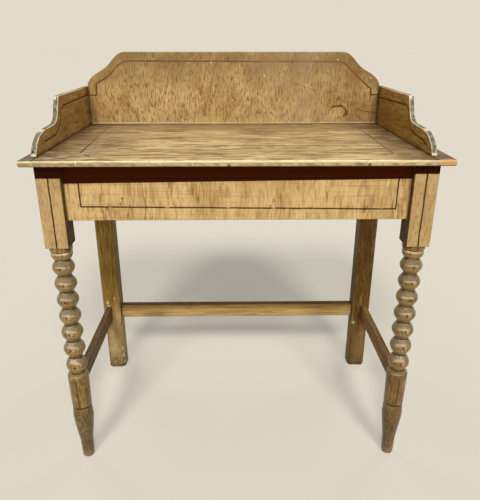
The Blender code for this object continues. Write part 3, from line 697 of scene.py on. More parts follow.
class Blank:
    """A piece of timber on the bench: a bmesh and the work done on it."""

    def __init__(self) -> None:
        """Start with no shape and a layer that remembers rounded arrises."""
        self.mesh = bmesh.new()
        self.arris = self.mesh.verts.layers.float.new(ARRIS)

    @classmethod
    def sawn(cls, low: Vector, high: Vector) -> "Blank":
        """Saw a board between two corners.

        Args:
            low: The corner with the lowest coordinates.
            high: The corner with the highest coordinates.

        Returns:
            The board.
        """
        blank = cls()
        bmesh.ops.create_cube(blank.mesh, size=1.0)
        bmesh.ops.scale(blank.mesh, vec=high - low, verts=blank.mesh.verts)
        bmesh.ops.translate(blank.mesh, vec=(low + high) / 2, verts=blank.mesh.verts)
        return blank

    @classmethod
    def fretted(cls, outline: list[Vector], thickness: Vector) -> "Blank":
        """Cut a board to an outline.

        Args:
            outline: The corners of one face, in order.
            thickness: The way from that face to the other.

        Returns:
            The board.
        """
        blank = cls()
        face = blank.mesh.faces.new([blank.mesh.verts.new(corner) for corner in outline])
        far = blank.draw_out(face)
        bmesh.ops.translate(blank.mesh, vec=thickness, verts=list(far.verts))
        return blank.face_out()

    @classmethod
    def turned(cls, profile: Outline, sides: int) -> "Blank":
        """Turn a profile round the Z axis and close its lower end.

        Args:
            profile: Points of radius and height, top first.
            sides: Number of sides round the turning.

        Returns:
            The turning, open at its upper end.
        """
        blank = cls()
        points = [blank.mesh.verts.new((radius, 0, height)) for radius, height in profile]
        edges = [blank.mesh.edges.new(pair) for pair in zip(points, points[1:])]
        bmesh.ops.spin(blank.mesh, geom=points + edges, cent=(0, 0, 0), axis=(0, 0, 1),
                       angle=2 * math.pi, steps=sides, use_merge=True)
        bmesh.ops.remove_doubles(blank.mesh, verts=blank.mesh.verts, dist=SAME_SPOT)
        bmesh.ops.edgeloop_fill(blank.mesh, edges=blank.rim(upper=False))
        return blank

    def draw_out(self, face: bmesh.types.BMFace) -> bmesh.types.BMFace:
        """Draw a face out on new walls; a face that stands alone stays as the other end.

        Args:
            face: The face that is drawn out.

        Returns:
            The new face, still in the old one's place.
        """
        alone = all(edge.is_boundary for edge in face.edges)
        grown = bmesh.ops.extrude_face_region(self.mesh, geom=[face])["geom"]
        if not alone:
            bmesh.ops.delete(self.mesh, geom=[face], context="FACES_ONLY")
        return next(item for item in grown if isinstance(item, bmesh.types.BMFace))

    def face_out(self) -> "Blank":
        """Turn every face of a closed blank outwards."""
        bmesh.ops.recalc_face_normals(self.mesh, faces=self.mesh.faces)
        if self.mesh.calc_volume(signed=True) < 0:
            bmesh.ops.reverse_faces(self.mesh, faces=self.mesh.faces)
        return self

    def rim(self, upper: bool) -> list[bmesh.types.BMEdge]:
        """Give the open edges at the upper or lower end."""
        heights = [vert.co.z for vert in self.mesh.verts]
        middle = (min(heights) + max(heights)) / 2
        rims = [edge for edge in self.mesh.edges if edge.is_boundary]
        return [edge for edge in rims if (edge.verts[0].co.z > middle) == upper]

    def draw_rim(self, rim: list[bmesh.types.BMEdge],
                 place: Callable[[Vector], Point]) -> list[bmesh.types.BMEdge]:
        """Draw open edges out on new walls.

        Args:
            rim: The open edges.
            place: Gives a new corner's place from the old one's.

        Returns:
            The new open edges.
        """
        grown = bmesh.ops.extrude_edge_only(self.mesh, edges=rim)["geom"]
        for vert in (item for item in grown if isinstance(item, bmesh.types.BMVert)):
            vert.co = place(vert.co)
        return [item for item in grown if isinstance(item, bmesh.types.BMEdge)]

    def square_up(self, half: float, levels: list[float]) -> "Blank":
        """Carry a turning's open upper end on as a square block.

        Args:
            half: Half the width of the block.
            levels: Heights of the block's sections, lowest first.

        Returns:
            The same blank, closed.
        """
        rim = self.rim(upper=True)
        for level in levels:
            rim = self.draw_rim(rim, lambda spot: (*(spot.xy * (half / max(map(abs, spot.xy)))), level))
        bmesh.ops.edgeloop_fill(self.mesh, edges=rim)
        return self.face_out()

    def rule(self, axis: int, pitch: float) -> "Blank":
        """Divide the edges that run along one axis, so that wear can follow them."""
        edges = []
        for edge in self.mesh.edges:
            run = (edge.verts[1].co - edge.verts[0].co).normalized()
            if abs(run[axis]) > STRAIGHT:
                edges.append(edge)
        cuts = round(max(edge.calc_length() for edge in edges) / pitch) - 1
        bmesh.ops.subdivide_edges(self.mesh, edges=edges, cuts=max(cuts, 1), use_grid_fill=True)
        return self

    def ease(self, width: float, segments: int = 3,
             keep: Callable[[bmesh.types.BMEdge], bool] = lambda edge: True) -> "Blank":
        """Round the sharp outer arrises.

        Args:
            width: Width of the rounding.
            segments: Number of facets across it.
            keep: Test for the edges that are rounded.

        Returns:
            The same blank.
        """
        edges = [edge for edge in self.mesh.edges
                 if edge.is_manifold and edge.calc_face_angle_signed() > SHARP_ANGLE and keep(edge)]
        made = bmesh.ops.bevel(self.mesh, geom=edges, offset=width, offset_type="OFFSET", segments=segments,
                               profile=0.5, affect="EDGES", material=-1, clamp_overlap=True)
        rounded = set(made["faces"])
        for vert in made["verts"]:
            if vert.is_valid and all(face in rounded for face in vert.link_faces):
                vert[self.arris] = 1.0
        return self

    def rub(self, depth: float, size: float, seed: float = 0.0) -> "Blank":
        """Wear the rounded arrises back unevenly.

        Args:
            depth: The deepest wear.
            size: Length of a worn stretch.
            seed: Shift that makes one piece's wear unlike another's.

        Returns:
            The same blank.
        """
        self.mesh.normal_update()
        shift = seed * RUB_WAY
        for vert in self.mesh.verts:
            if vert[self.arris] > 0:
                wear = 0.5 + 0.5 * noise.noise(vert.co / size + shift)
                fine = 0.5 + 0.5 * noise.noise(vert.co / size * FINE_RUB + shift)
                vert.co -= vert.normal * depth * (0.7 * wear * wear + 0.3 * fine)
        return self

    def reface(self, index: int, test: Callable[[bmesh.types.BMFace], bool]) -> "Blank":
        """Give the faces that pass a test another of the piece's finishes."""
        self.mesh.normal_update()
        for face in self.mesh.faces:
            if test(face):
                face.material_index = index
        return self

    def shift(self, move: Point) -> "Blank":
        """Move the whole blank."""
        bmesh.ops.translate(self.mesh, vec=move, verts=self.mesh.verts)
        return self

    def piece(self, name: str, nodes: tuple[str, ...], slot: str,
              finishes: tuple[bpy.types.Material, ...]) -> bpy.types.Object:
        """Make the finished piece and tie it to the frame.

        Args:
            name: The piece's own name.
            nodes: The solids that it stands for.
            slot: A material slot's name; not used.
            finishes: Its materials, in the order of its faces' numbers.

        Returns:
            The piece.
        """
        mesh = bpy.data.meshes.new(name)
        self.mesh.to_mesh(mesh)
        self.mesh.free()
        mesh.shade_smooth()
        mesh.set_sharp_from_angle(angle=CREASE_ANGLE)
        for finish in finishes:
            mesh.materials.append(finish)
        piece = bpy.data.objects.new(name, mesh)
        bpy.context.scene.collection.objects.link(piece)
        shading = piece.modifiers.new("shading", "WEIGHTED_NORMAL")
        shading.keep_sharp = True
        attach(piece, "root")
        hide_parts(*nodes)
        return piece


@dataclass
class TableTop:
    """The two boards of the top, painted over as one."""

    arris: float = 0.0026
    wear: float = 0.0009
    wear_length: float = 0.03
    pitch_along: float = 0.004
    pitch_deep: float = 0.012
    line_rear: float = 0.165
    line_front: float = -0.2145

    def build(self) -> Iterator[tuple[str, str, Blank]]:
        """Shape the boards, which meet at the glue joint without a gap.

        Yields:
            Each board's piece name, its solid's name and its blank.
        """
        front_low, front_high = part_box("top_front_board")
        rear_low, rear_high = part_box("top_rear_board")
        joint = (front_high.y + rear_low.y) / 2
        front_high.y = joint
        rear_low.y = joint
        boards = (("top_front", "top_front_board", front_low, front_high, 1.0),
                  ("top_rear", "top_rear_board", rear_low, rear_high, 5.0))
        for name, node, low, high, seed in boards:
            blank = Blank.sawn(low, high).rule(0, self.pitch_along).rule(1, self.pitch_deep)
            blank.ease(self.arris, keep=lambda edge: any(abs(v.co.y - joint) > SAME_SPOT for v in edge.verts))
            blank.rub(self.wear, self.wear_length, seed)
            yield name, node, blank.reface(1, lambda face: face.normal.z < -FACING)

    def lining(self) -> tuple[Line, ...]:
        """Give the painted lines: a side line at each end with a notched corner, and a worn front line."""
        face = Face(2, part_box("top_front_board")[1].z)
        left = face.at((-0.345, self.line_rear), (-0.3315, -0.085))
        left_notch = face.at((-0.3315, -0.085), (-0.3285, -0.166), (-0.3015, -0.2035))
        right = face.at((0.3245, self.line_rear), (0.3225, -0.180), (0.2985, -0.196))
        front = face.at((-0.300, self.line_front), (0.2965, self.line_front))
        return (
            Line(left, strength=0.75, worn=0.46),
            Line(left_notch, strength=0.95, width=0.0042, worn=0.20),
            Line(right, strength=0.85, worn=0.40),
            Line(front, strength=0.45, worn=0.52),
        )

    def finish(self) -> Scumble:
        """Give the top's finish: long streaks, dusty joints, a worn front with a painted highlight along its
        upper arris, and a few stains.
        """
        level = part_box("top_front_board")[1].z
        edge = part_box("top_front_board")[0].y
        middle = (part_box("gallery_left")[1].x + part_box("gallery_right")[0].x) / 2
        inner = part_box("gallery_right")[0].x - middle
        face = Limit(Axis.Z, level - 0.0012, 0.80)
        front = Limit(Axis.Y, edge - 0.01, edge + 0.0014)
        upper = Face(2, level)
        rim = Face(1, edge)
        brown = screen(100, 70, 40)
        greyed = screen(150, 142, 118)
        grime_and_painted_light = (
            Haze(Axis.Y, edge + 0.0016, edge + 0.0006, screen(234, 204, 150), 0.65, scale=40.0),
            Haze(Axis.Z, level - 0.0048, level - 0.0066, screen(162, 126, 68), 0.80, scale=60.0,
                 limits=(front,), even=0.0, clouds=(0.44, 0.60)),
            Haze(Axis.Z, level - 0.0098, level - 0.0114, screen(248, 224, 174), 0.80, scale=60.0,
                 limits=(front,), even=0.3),
            # Painted highlight: the upper arris of the front edge, worn to the pale ground, is brightened
            # nearly to white.
            Haze(Axis.Z, level - 0.0052, level - 0.0034, screen(255, 240, 194), 0.80, scale=60.0,
                 limits=(front,), even=0.3),
            Haze(Axis.Y, 0.080, 0.200, screen(130, 105, 72), 0.85, scale=20.0, limits=(face,)),
            Haze(Axis.SPREAD, 0.290, inner, screen(108, 84, 62), 0.85, scale=34.0, limits=(face,),
                 even=0.1),
            Haze(Axis.X, -0.18, -0.36, screen(84, 60, 44), 0.72, scale=75.0, limits=(face,), even=0.1,
                 clouds=(0.36, 0.66), stretch=3.5),
            Haze(Axis.X, 0.27, 0.36, screen(92, 64, 34), 0.70, scale=26.0, limits=(face,)),
            Haze(Axis.SPREAD, inner + 0.006, inner + 0.014, screen(98, 84, 76), 0.85, scale=40.0,
                 limits=(face,)),
            Haze(Axis.SPREAD, inner - 0.003, inner - 0.0005, SOOT, 0.9, scale=40.0,
                 limits=(face, Limit(Axis.SPREAD, 0.3, inner + 0.004))),
            Haze(Axis.Y, 0.2225, 0.2265, GRIME, 0.9, scale=40.0, limits=(face,)),
            Spots(upper.at((-0.227, -0.108), (-0.245, -0.120)), (0.024, 0.006, 0.01), brown, 0.65),
            Spots(upper.at((-0.040, -0.230), (-0.005, -0.236)), (0.024, 0.005, 0.01), brown, 0.70),
            Spots(upper.at((0.149, -0.2325), (0.2355, -0.1095)), (0.011, 0.004, 0.01), SOOT, 0.65),
            Spots(upper.at((-0.3776, -0.2213), (-0.3546, -0.2054), (-0.3195, -0.1779)),
                  (0.013, 0.004, 0.01), CREAM, 0.65),
            Spots(upper.at((-0.2486, -0.0428), (-0.1994, -0.0253), (0.3377, 0.0305)),
                  (0.018, 0.005, 0.01), screen(226, 206, 166), 0.5),
            Spots(upper.at((0.379, -0.006), (0.3694, -0.188), (0.3891, 0.187)), (0.016, 0.013, 0.01),
                  greyed, 0.55),
            Spots(rim.at((0.415, level - 0.006)), (0.022, 0.012, 0.012), screen(228, 162, 100), 0.7),
            Spots(rim.at((-0.018, level - 0.0103), (0.2587, level - 0.009)), (0.004, 0.01, 0.003), SOOT,
                  0.7),
            Spots(rim.at((0.238, level - 0.008)), (0.012, 0.01, 0.004), brown, 0.5),
            Spots(rim.at((-0.3174, level - 0.006)), (0.0016, 0.01, 0.006), screen(255, 248, 224), 0.55),
        )
        return Scumble("top_paint", Run.ALONG, *shades((222, 194, 141), (190, 159, 107), (100, 70, 38)),
                       band=(2.6, 22.0), fleck=(9.0, 52.0), depth=0.70, warp=0.006, vein=(1.8, 30.0),
                       vein_depth=0.55, vein_width=0.06, rubbed=0.35, wear=0.9,
                       ground=screen(246, 226, 180), roughness=0.5, scratched=0.65, middle_x=middle,
                       lining=self.lining(), grime_and_painted_light=grime_and_painted_light)

    def dress(self) -> Iterator[bpy.types.Object]:
        """Finish the boards and tie them to the frame."""
        finishes = (self.finish().make(), BarePine("top_underside", Run.ALONG).make())
        for name, node, blank in self.build():
            yield blank.piece(name, (node,), "top_scumble", finishes)


@dataclass(frozen=True)
class Bend:
    """How an ogee bends, as shares of its reach and its climb from the foot to the crown."""

    hollow: Flat
    turn: Flat

    @staticmethod
    def place(share: Flat, foot: Flat, crown: Flat) -> Flat:
        """Give the point at a share of the way across and of the way up."""
        return tuple(start + (end - start) * part for start, end, part in zip(foot, crown, share))


@dataclass
class Gallery:
    """The upstand round three sides of the top: a back board and two cheeks."""

    slope_run: float = 0.017
    slope_drop: float = 0.032
    hollow_run: float = 0.0375
    shelf_run: float = 0.0545
    shelf_height: float = 0.044
    shelf_rise: float = 0.002
    roll_run: float = 0.0762
    roll_sink: float = 0.012
    end_rise: float = 0.100
    end_roll: Flat = (0.0367, 0.040)
    ogee_reach: float = 0.068
    ogee_bend: Bend = Bend((0.271, 0.190), (0.471, 0.526))
    curve_steps: int = 20
    line_steps: int = 4
    pitch: float = 0.006
    arris: float = 0.0018
    wear: float = 0.0007
    back_wear_length: float = 0.03
    cheek_wear_length: float = 0.02
    edge_overlap: float = 0.003

    def arc(self, centre: Flat, reach: float, rise: float, start: float, end: float) -> Outline:
        """Give points along an elliptical arc between two angles in degrees."""
        points = []
        for step in range(self.curve_steps + 1):
            angle = math.radians(start + (end - start) * step / self.curve_steps)
            points.append((centre[0] + reach * math.cos(angle), centre[1] + rise * math.sin(angle)))
        return points

    @staticmethod
    def curve(start: Flat, control: Flat, end: Flat, steps: int) -> Outline:
        """Give points after the start of a quadratic curve."""
        points = []
        for step in range(1, steps + 1):
            share = step / steps
            weights = ((1 - share) ** 2, 2 * share * (1 - share), share ** 2)
            points.append(tuple(sum(weight * value for weight, value in zip(weights, values))
                                for values in zip(start, control, end)))
        return points

    def ogee(self, foot: Flat, crown: Flat, bend: Bend, steps: int) -> Outline:
        """Give points after the foot of an ogee that climbs to a level crown.

        Args:
            foot: Where it starts, as width and height.
            crown: Where it ends.
            bend: How it bends between them.
            steps: Number of points on each of its two curves.

        Returns:
            The points of width and height.
        """
        hollow = bend.place(bend.hollow, foot, crown)
        turn = bend.place(bend.turn, foot, crown)
        slope = (turn[0] - hollow[0]) / (turn[1] - hollow[1])
        swell = (turn[0] + slope * (crown[1] - turn[1]), crown[1])
        return self.curve(foot, hollow, turn, steps) + self.curve(turn, swell, crown, steps)

    def divided(self, corners: Outline) -> Outline:
        """Give an outline with its long straight stretches divided, so that wear can follow them."""
        points = []
        for here, there in zip(corners, corners[1:] + corners[:1]):
            steps = max(1, round(math.dist(here, there) / self.pitch))
            points += [between(here, there, step / steps) for step in range(steps)]
        return points

    def crown_front(self, low: Vector) -> float:
        """Give the depth where a cheek's level upper edge starts."""
        return low.y + self.roll_run + self.shelf_run + self.hollow_run + self.slope_run

    def cheek_outline(self, low: Vector, high: Vector) -> Outline:
        """Give a cheek's outline as points of depth and height: slope, hollow, shelf and roll."""
        roll_top = low.y + self.roll_run
        shelf_rear = (roll_top + self.shelf_run, low.z + self.shelf_height + self.shelf_rise)
        slope_foot = (shelf_rear[0] + self.hollow_run, high.z - self.slope_drop)
        lead = self.slope_run / self.slope_drop * (slope_foot[1] - shelf_rear[1])
        rise = self.shelf_height + self.roll_sink
        toe_angle = math.asin(self.roll_sink / rise)
        corners = [(high.y, low.z), (high.y, high.z), (slope_foot[0] + self.slope_run, high.z), slope_foot]
        corners += self.curve(slope_foot, (slope_foot[0] - lead, shelf_rear[1]), shelf_rear, self.curve_steps)
        corners += self.arc((roll_top, low.z - self.roll_sink), self.roll_run / math.cos(toe_angle), rise, 90,
                            180 - math.degrees(toe_angle))
        return self.divided(corners)

    def back_outline(self, low: Vector, high: Vector) -> Outline:
        """Give the back board's outline as points of width and height: an ogee and a roll at each end."""
        middle = (low.x + high.x) / 2
        reach, climb = self.end_roll
        end = (high.x, low.z + self.end_rise)
        foot = (end[0] - reach, end[1] + climb)
        crown = (foot[0] - self.ogee_reach, high.z)
        hollow = self.ogee_bend.place(self.ogee_bend.hollow, foot, crown)
        fall = (hollow[1] - foot[1]) / (foot[0] - hollow[0])
        half = [(high.x, low.z), end]
        half += self.curve(end, (end[0], foot[1] - fall * reach), foot, self.curve_steps)
        half += self.ogee(foot, crown, self.ogee_bend, self.curve_steps)
        return self.divided(half + [(2 * middle - across, level) for across, level in reversed(half)])

    def build(self) -> Iterator[tuple[str, str, Blank]]:
        """Shape the three boards.

        Yields:
            Each board's piece name, its solid's name and its blank.
        """
        low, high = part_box("gallery_back")
        outline = [Vector((across, low.y, level)) for across, level in self.back_outline(low, high)]
        blank = Blank.fretted(outline, Vector((0, high.y - low.y, 0)))
        blank.ease(self.arris).rub(self.wear, self.back_wear_length, 2.0)
        yield "gallery_back_board", "gallery_back", blank.reface(1, lambda face: face.normal.y > FACING)
        for side, hand in SIDES:
            low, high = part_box(f"gallery_{side}")
            outline = [Vector((low.x, deep, level)) for deep, level in self.cheek_outline(low, high)]
            blank = Blank.fretted(outline, Vector((high.x - low.x, 0, 0)))
            blank.ease(self.arris).rub(self.wear, self.cheek_wear_length, 7.0 + hand)
            rear = self.crown_front(low) + self.edge_overlap
            blank.reface(1, lambda face: abs(face.normal.x) < 0.85 and face.normal.z > -0.5
                         and face.calc_center_median().y < rear)
            yield f"gallery_{side}_cheek", f"gallery_{side}", blank

    def back_finish(self) -> Scumble:
        """Give the back board's finish: short upright flecks, a line under its edge and a knot."""
        low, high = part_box("gallery_back")
        front = Face(1, low.y)
        middle = (low.x + high.x) / 2
        courses = (
            ((0.3745, 0.8590), (0.2800, 0.9290), Bend((0.544, 0.577), (0.683, 0.784))),
            ((0.3725, 0.8740), (0.2790, 0.9310), Bend((0.348, 0.242), (0.551, 0.628))),
        )
        end = [(0.394, 0.8435), (0.375, 0.8435)]
        right, left = (end + [foot] + self.ogee(foot, crown, bend, self.line_steps)
                       for foot, crown, bend in courses)
        corners = [(middle + across, level) for across, level in right]
        corners += [(middle - across, level) for across, level in reversed(left)]
        lining = (
            Line(front.at(*corners), width=0.0040, worn=0.26),
            Knot((0.2824, low.y, 0.7974), 0.028, 0.019, 0.85),
            Line(front.at((0.332, 0.8050), (0.352, 0.8000), (high.x, 0.7945)), strength=0.7, width=0.0026),
            Line(front.at((0.344, 0.8138), (high.x, 0.8166)), strength=0.4, width=0.0018),
            Line(front.at((0.1575, 0.8729), (0.2181, 0.8551)), strength=0.35, width=0.0022),
            Line(front.at((0.2729, 0.8352), (0.3082, 0.8243)), strength=0.35, width=0.0022),
        )
        ticks = front.at((-0.0355, 0.780), (0.0012, 0.780), (0.0571, 0.7816), (0.0969, 0.7956),
                         (0.1452, 0.7798), (-0.0862, 0.8075), (0.0582, 0.8485), (-0.190, 0.779),
                         (-0.140, 0.778))
        chips = front.at((0.2723, 0.9347), (0.3646, 0.8877), (0.0761, 0.8934), (-0.0672, 0.9271))
        grime_and_painted_light = (
            Haze(Axis.Z, 0.850, 0.930, screen(134, 108, 68), 0.80, scale=20.0),
            Haze(Axis.X, 0.16, 0.34, screen(124, 88, 48), 0.60, scale=16.0),
            Spots(front.at((0.10, 0.775), (0.02, 0.772), (-0.06, 0.778)), (0.034, 0.05, 0.012),
                  screen(208, 168, 94), 0.30),
            Haze(Axis.X, -0.26, -0.38, screen(160, 112, 58), 0.45, scale=16.0),
            Haze(Axis.Z, 0.70, 0.72, screen(176, 148, 116), 0.45, scale=22.0,
                 limits=(Limit(Axis.X, 0.06, 0.24, 0.05),), even=0.0),
            Haze(Axis.Z, 0.772, 0.7695, screen(214, 192, 146), 0.75, scale=40.0),
            Haze(Axis.SPREAD, 0.370, 0.394, screen(112, 92, 62), 0.6, scale=60.0,
                 limits=(Limit(Axis.Z, 0.76, 0.83, 0.02),)),
            Haze(Axis.SPREAD, 0.390, 0.396, GRIME, 0.85, scale=40.0),
            Haze(Axis.Z, 0.7672, 0.7658, GRIME, 0.9, scale=40.0),
            Spots(ticks, (0.0016, 0.01, 0.005), screen(84, 56, 28), 0.75),
            Spots(chips, (0.0022, 0.01, 0.0026), screen(244, 230, 196), 0.65),
        )
        return Scumble("gallery_back_paint", Run.UPRIGHT,
                       *shades((204, 173, 115), (174, 141, 87), (84, 55, 25)), band=(16.0, 26.0),
                       fleck=(58.0, 270.0), depth=0.66, warp=0.004, timber=0.06, wear=0.45,
                       ground=screen(222, 198, 146), scratched=0.4, middle_x=middle, lining=lining,
                       grime_and_painted_light=grime_and_painted_light)

    def cheek_finish(self, side: str, hand: int) -> Scumble:
        """Give a cheek's finish: strokes along the board, one line, and pale, hard-worn front edges."""
        low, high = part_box(f"gallery_{side}")
        inner = Face(0, low.x if hand > 0 else high.x)
        courses = {
            "left": ((0.226, 0.8454), (-0.004, 0.8427), (-0.0226, 0.8344), (-0.028, 0.8217), (-0.037, 0.8095),
                     (-0.0614, 0.7953), (-0.0784, 0.7892), (-0.1207, 0.7871), (-0.1536, 0.7862)),
            "right": ((0.226, 0.8380), (0.030, 0.8429), (-0.024, 0.8440), (-0.040, 0.8340),
                      (-0.0465, 0.8226), (-0.0513, 0.8099), (-0.060, 0.8010), (-0.0866, 0.7920),
                      (-0.1145, 0.7901), (-0.160, 0.7865), (-0.181, 0.7775)),
        }
        lining = (Line(inner.at(*courses[side]), width=0.0040, worn=0.34),)
        grime_and_painted_light = (
            Haze(Axis.Y, 0.185, 0.226, GRIME, 0.7, scale=40.0),
            Haze(Axis.Z, low.z + 0.008, low.z + 0.001, GRIME, 0.6, scale=40.0),
            Haze(Axis.Y, 0.09, 0.22, screen(96, 70, 42), 0.8, scale=40.0,
                 limits=(Limit(Axis.Z, high.z - 0.0012, 1.0),)),
        )
        tones = {"left": shades((187, 149, 86), (165, 128, 68), (98, 66, 28)),
                 "right": shades((174, 137, 66), (152, 115, 49), (88, 58, 18))}
        return Scumble(f"gallery_{side}_paint", Run.DEEP, *tones[side], band=(8.0, 20.0),
                       fleck=(18.0, 120.0), depth=0.45, board_run=Run.DEEP, timber=0.08, rubbed=0.05,
                       wear=0.9, lining=lining, grime_and_painted_light=grime_and_painted_light)

    def edge_finish(self, side: str) -> Scumble:
        """Give the finish of a cheek's shaped front edge: chipped ground, cream along the arrises."""
        low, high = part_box(f"gallery_{side}")
        across = (low.x + high.x) / 2
        crown = self.crown_front(low)
        shelf = low.z + self.shelf_height
        marks = (
            Spots(((across - 0.002, crown - 0.004, high.z - 0.004),), (0.004, 0.006, 0.005), CREAM, 0.95),
            Spots(((across, low.y + self.roll_run - 0.012, shelf),), (0.008, 0.012, 0.008), CREAM, 0.8),
            Spots(((across, low.y + 0.003, low.z + 0.004),), (0.006, 0.006, 0.003), CREAM, 0.8),
        )
        if side == "left":
            marks += (
                Spots(((across - 0.001, low.y + 0.003, low.z + 0.0105),), (0.0035, 0.006, 0.0026), SOOT,
                      0.95),
                Spots(((across, crown - 0.019, high.z - 0.046), (across, crown - 0.011, high.z - 0.030)),
                      (0.003, 0.01, 0.006), screen(64, 54, 40), 0.8),
            )
        return Scumble(f"gallery_{side}_edge", Run.UPRIGHT,
                       *shades((162, 152, 128), (118, 108, 86), (66, 54, 36)), band=(30.0, 60.0),
                       fleck=(60.0, 150.0), depth=0.7, timber=0.0, wear=1.0, rubbed=0.3,
                       ground=screen(246, 236, 206), roughness=0.6, grime_and_painted_light=marks)

    def dress(self) -> Iterator[bpy.types.Object]:
        """Finish the boards and tie them to the frame."""
        finishes = {"gallery_back": (self.back_finish().make(), BarePine("gallery_rear", Run.ALONG).make())}
        for side, hand in SIDES:
            pair = (self.cheek_finish(side, hand), self.edge_finish(side))
            finishes[f"gallery_{side}"] = tuple(finish.make() for finish in pair)
        for name, node, blank in self.build():
            yield blank.piece(name, (node,), "gallery_scumble", finishes[node])


@dataclass
class FrontLegs:
    """The two front legs: a square block, a collar, seven bobbins, a barrel and a tapered foot."""

    block_bottom: float = 0.5735
    ring_length: float = 0.0115
    groove_length: float = 0.0015
    bead_length: float = 0.019
    ring_radius: float = 0.0246
    groove_radius: float = 0.0222
    bead_radius: float = 0.0235
    bead_inset: float = 0.0004
    bobbins: int = 7
    grade: float = 0.08
    bobbin_radius: float = 0.0246
    neck_radius: float = 0.0150
    sharpness: float = 1.5
    turning_error: float = 0.0005
    barrel_top: float = 0.250
    barrel_shoulder: float = 0.010
    barrel_top_radius: float = 0.0245
    barrel_foot_radius: float = 0.0230
    foot_height: float = 0.155
    foot_groove_radius: float = 0.0212
    foot_groove_length: float = 0.003
    foot_lip: tuple[Flat, ...] = ((0.0006, 0.0025), (0.0, 0.006))
    foot_radius: float = 0.0242
    foot_swell_drop: float = 0.032
    foot_taper: float = 1.15
    ankle_height: float = 0.050
    ankle_radius: float = 0.0157
    tip_height: float = 0.020
    tip_radius: float = 0.0148
    sole_radius: float = 0.0138
    sole_round: float = 0.0016
    steps: int = 14
    sides: int = 72
    sections: int = 22
    shade_levels: dict[str, float] = field(default_factory=lambda: {"left": 0.7246, "right": 0.7318})
    barrel_line_top: float = 0.234
    arris: float = 0.0012
    wear: float = 0.0005
    wear_length: float = 0.02

    @property
    def collar_bottom(self) -> float:
        """Level where the first bobbin starts."""
        return self.block_bottom - self.ring_length - self.groove_length - self.bead_length

    def quarter(self, start: Flat, end: Flat) -> Outline:
        """Give points along a quarter of an ellipse that leaves its start upright and ends level."""
        points = []
        for step in range(self.steps + 1):
            angle = math.pi / 2 * step / self.steps
            points.append((end[0] + (start[0] - end[0]) * math.cos(angle),
                           start[1] + (end[1] - start[1]) * math.sin(angle)))
        return points

    def collar(self) -> Outline:
        """Give the profile of the ring, groove and bead below the block; the ring runs into the block."""
        ring_bottom = self.block_bottom - self.ring_length
        ring_edge = (self.ring_radius, ring_bottom + self.ring_length / 4)
        bead_top = ring_bottom - self.groove_length
        lip = self.bead_length / 4
        points = [(self.ring_radius, self.block_bottom)]
        points += self.quarter(ring_edge, (self.groove_radius, ring_bottom))
        points += [(self.groove_radius, bead_top), (self.bead_radius - self.bead_inset, bead_top - lip / 3)]
        bead = self.quarter((self.bead_radius, bead_top - lip), (self.neck_radius, self.collar_bottom))
        return points + bead[:-1]

    def neck_level(self, index: int) -> float:
        """Give the height of the neck above a bobbin, counted from the top; they grow longer downwards."""
        share = index / self.bobbins
        share *= 1 - self.grade * (1 - share)
        return self.collar_bottom + (self.barrel_top - self.collar_bottom) * share

    def bobbin(self, top: float, length: float, swell: float) -> Outline:
        """Give the profile of one bobbin, from its upper neck to just above its lower one."""
        points = []
        for step in range(2 * self.steps):
            level = step / self.steps - 1
            bulge = max(0.0, 1 - level * level) ** self.sharpness
            points.append((self.neck_radius + (self.bobbin_radius + swell - self.neck_radius) * bulge,
                           top - length * step / (2 * self.steps)))
        return points

    def barrel(self) -> Outline:
        """Give the profile of the barrel, from the last neck to the groove above the foot."""
        shoulder = (self.barrel_top_radius, self.barrel_top - self.barrel_shoulder)
        bottom = (self.barrel_foot_radius, self.foot_height + self.foot_groove_length)
        points = self.quarter(shoulder, (self.neck_radius, self.barrel_top))[::-1]
        return points + [between(shoulder, bottom, step / self.steps) for step in range(1, self.steps + 1)]

    def foot(self) -> Outline:
        """Give the profile of the groove and the foot, down to the floor."""
        groove_bottom = self.foot_height - self.foot_groove_length
        points = [(self.foot_groove_radius, self.foot_height), (self.foot_groove_radius, groove_bottom)]
        points += [(self.barrel_foot_radius - inset, groove_bottom - drop) for inset, drop in self.foot_lip]
        swell = self.foot_height - self.foot_swell_drop
        for step in range(2 * self.steps + 1):
            share = step / (2 * self.steps)
            waist = share ** self.foot_taper
            points.append((self.foot_radius + (self.ankle_radius - self.foot_radius) * waist,
                           swell + (self.ankle_height - swell) * share))
        points += [(self.tip_radius, self.tip_height), (self.sole_radius, self.sole_round),
                   (self.sole_radius - self.sole_round, 0.0)]
        return points

    def profile(self, hand: int) -> Outline:
        """Give the whole turned profile of one leg, with the small differences of hand turning."""
        chance = random.Random(40 + hand)
        points = self.collar()
        for index in range(self.bobbins):
            top = self.neck_level(index)
            swell = chance.uniform(-self.turning_error, 0.0)
            points += self.bobbin(top, top - self.neck_level(index + 1), swell)
        return points + self.barrel() + self.foot()

    def build(self) -> Iterator[tuple[str, Blank]]:
        """Shape the legs.

        Yields:
            Each leg's side and its blank.
        """
        for side, hand in SIDES:
            low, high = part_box(f"front_{side}_leg")
            rise = high.z - self.block_bottom
            levels = [self.block_bottom + rise * step / self.sections for step in range(self.sections + 1)]
            blank = Blank.turned(self.profile(hand), self.sides).square_up((high.x - low.x) / 2, levels)
            edge_level = self.block_bottom - self.ring_length / 8
            blank.ease(self.arris, keep=lambda edge: all(vert.co.z > edge_level for vert in edge.verts)
                       and any(max(abs(vert.co.x), abs(vert.co.y)) > self.ring_radius for vert in edge.verts))
            blank.rub(self.wear, self.wear_length, 3.0 * hand)
            blank.reface(1, lambda face: face.calc_center_median().z < edge_level)
            middle = middle_of(f"front_{side}_leg")
            yield side, blank.shift((middle.x, middle.y, 0))

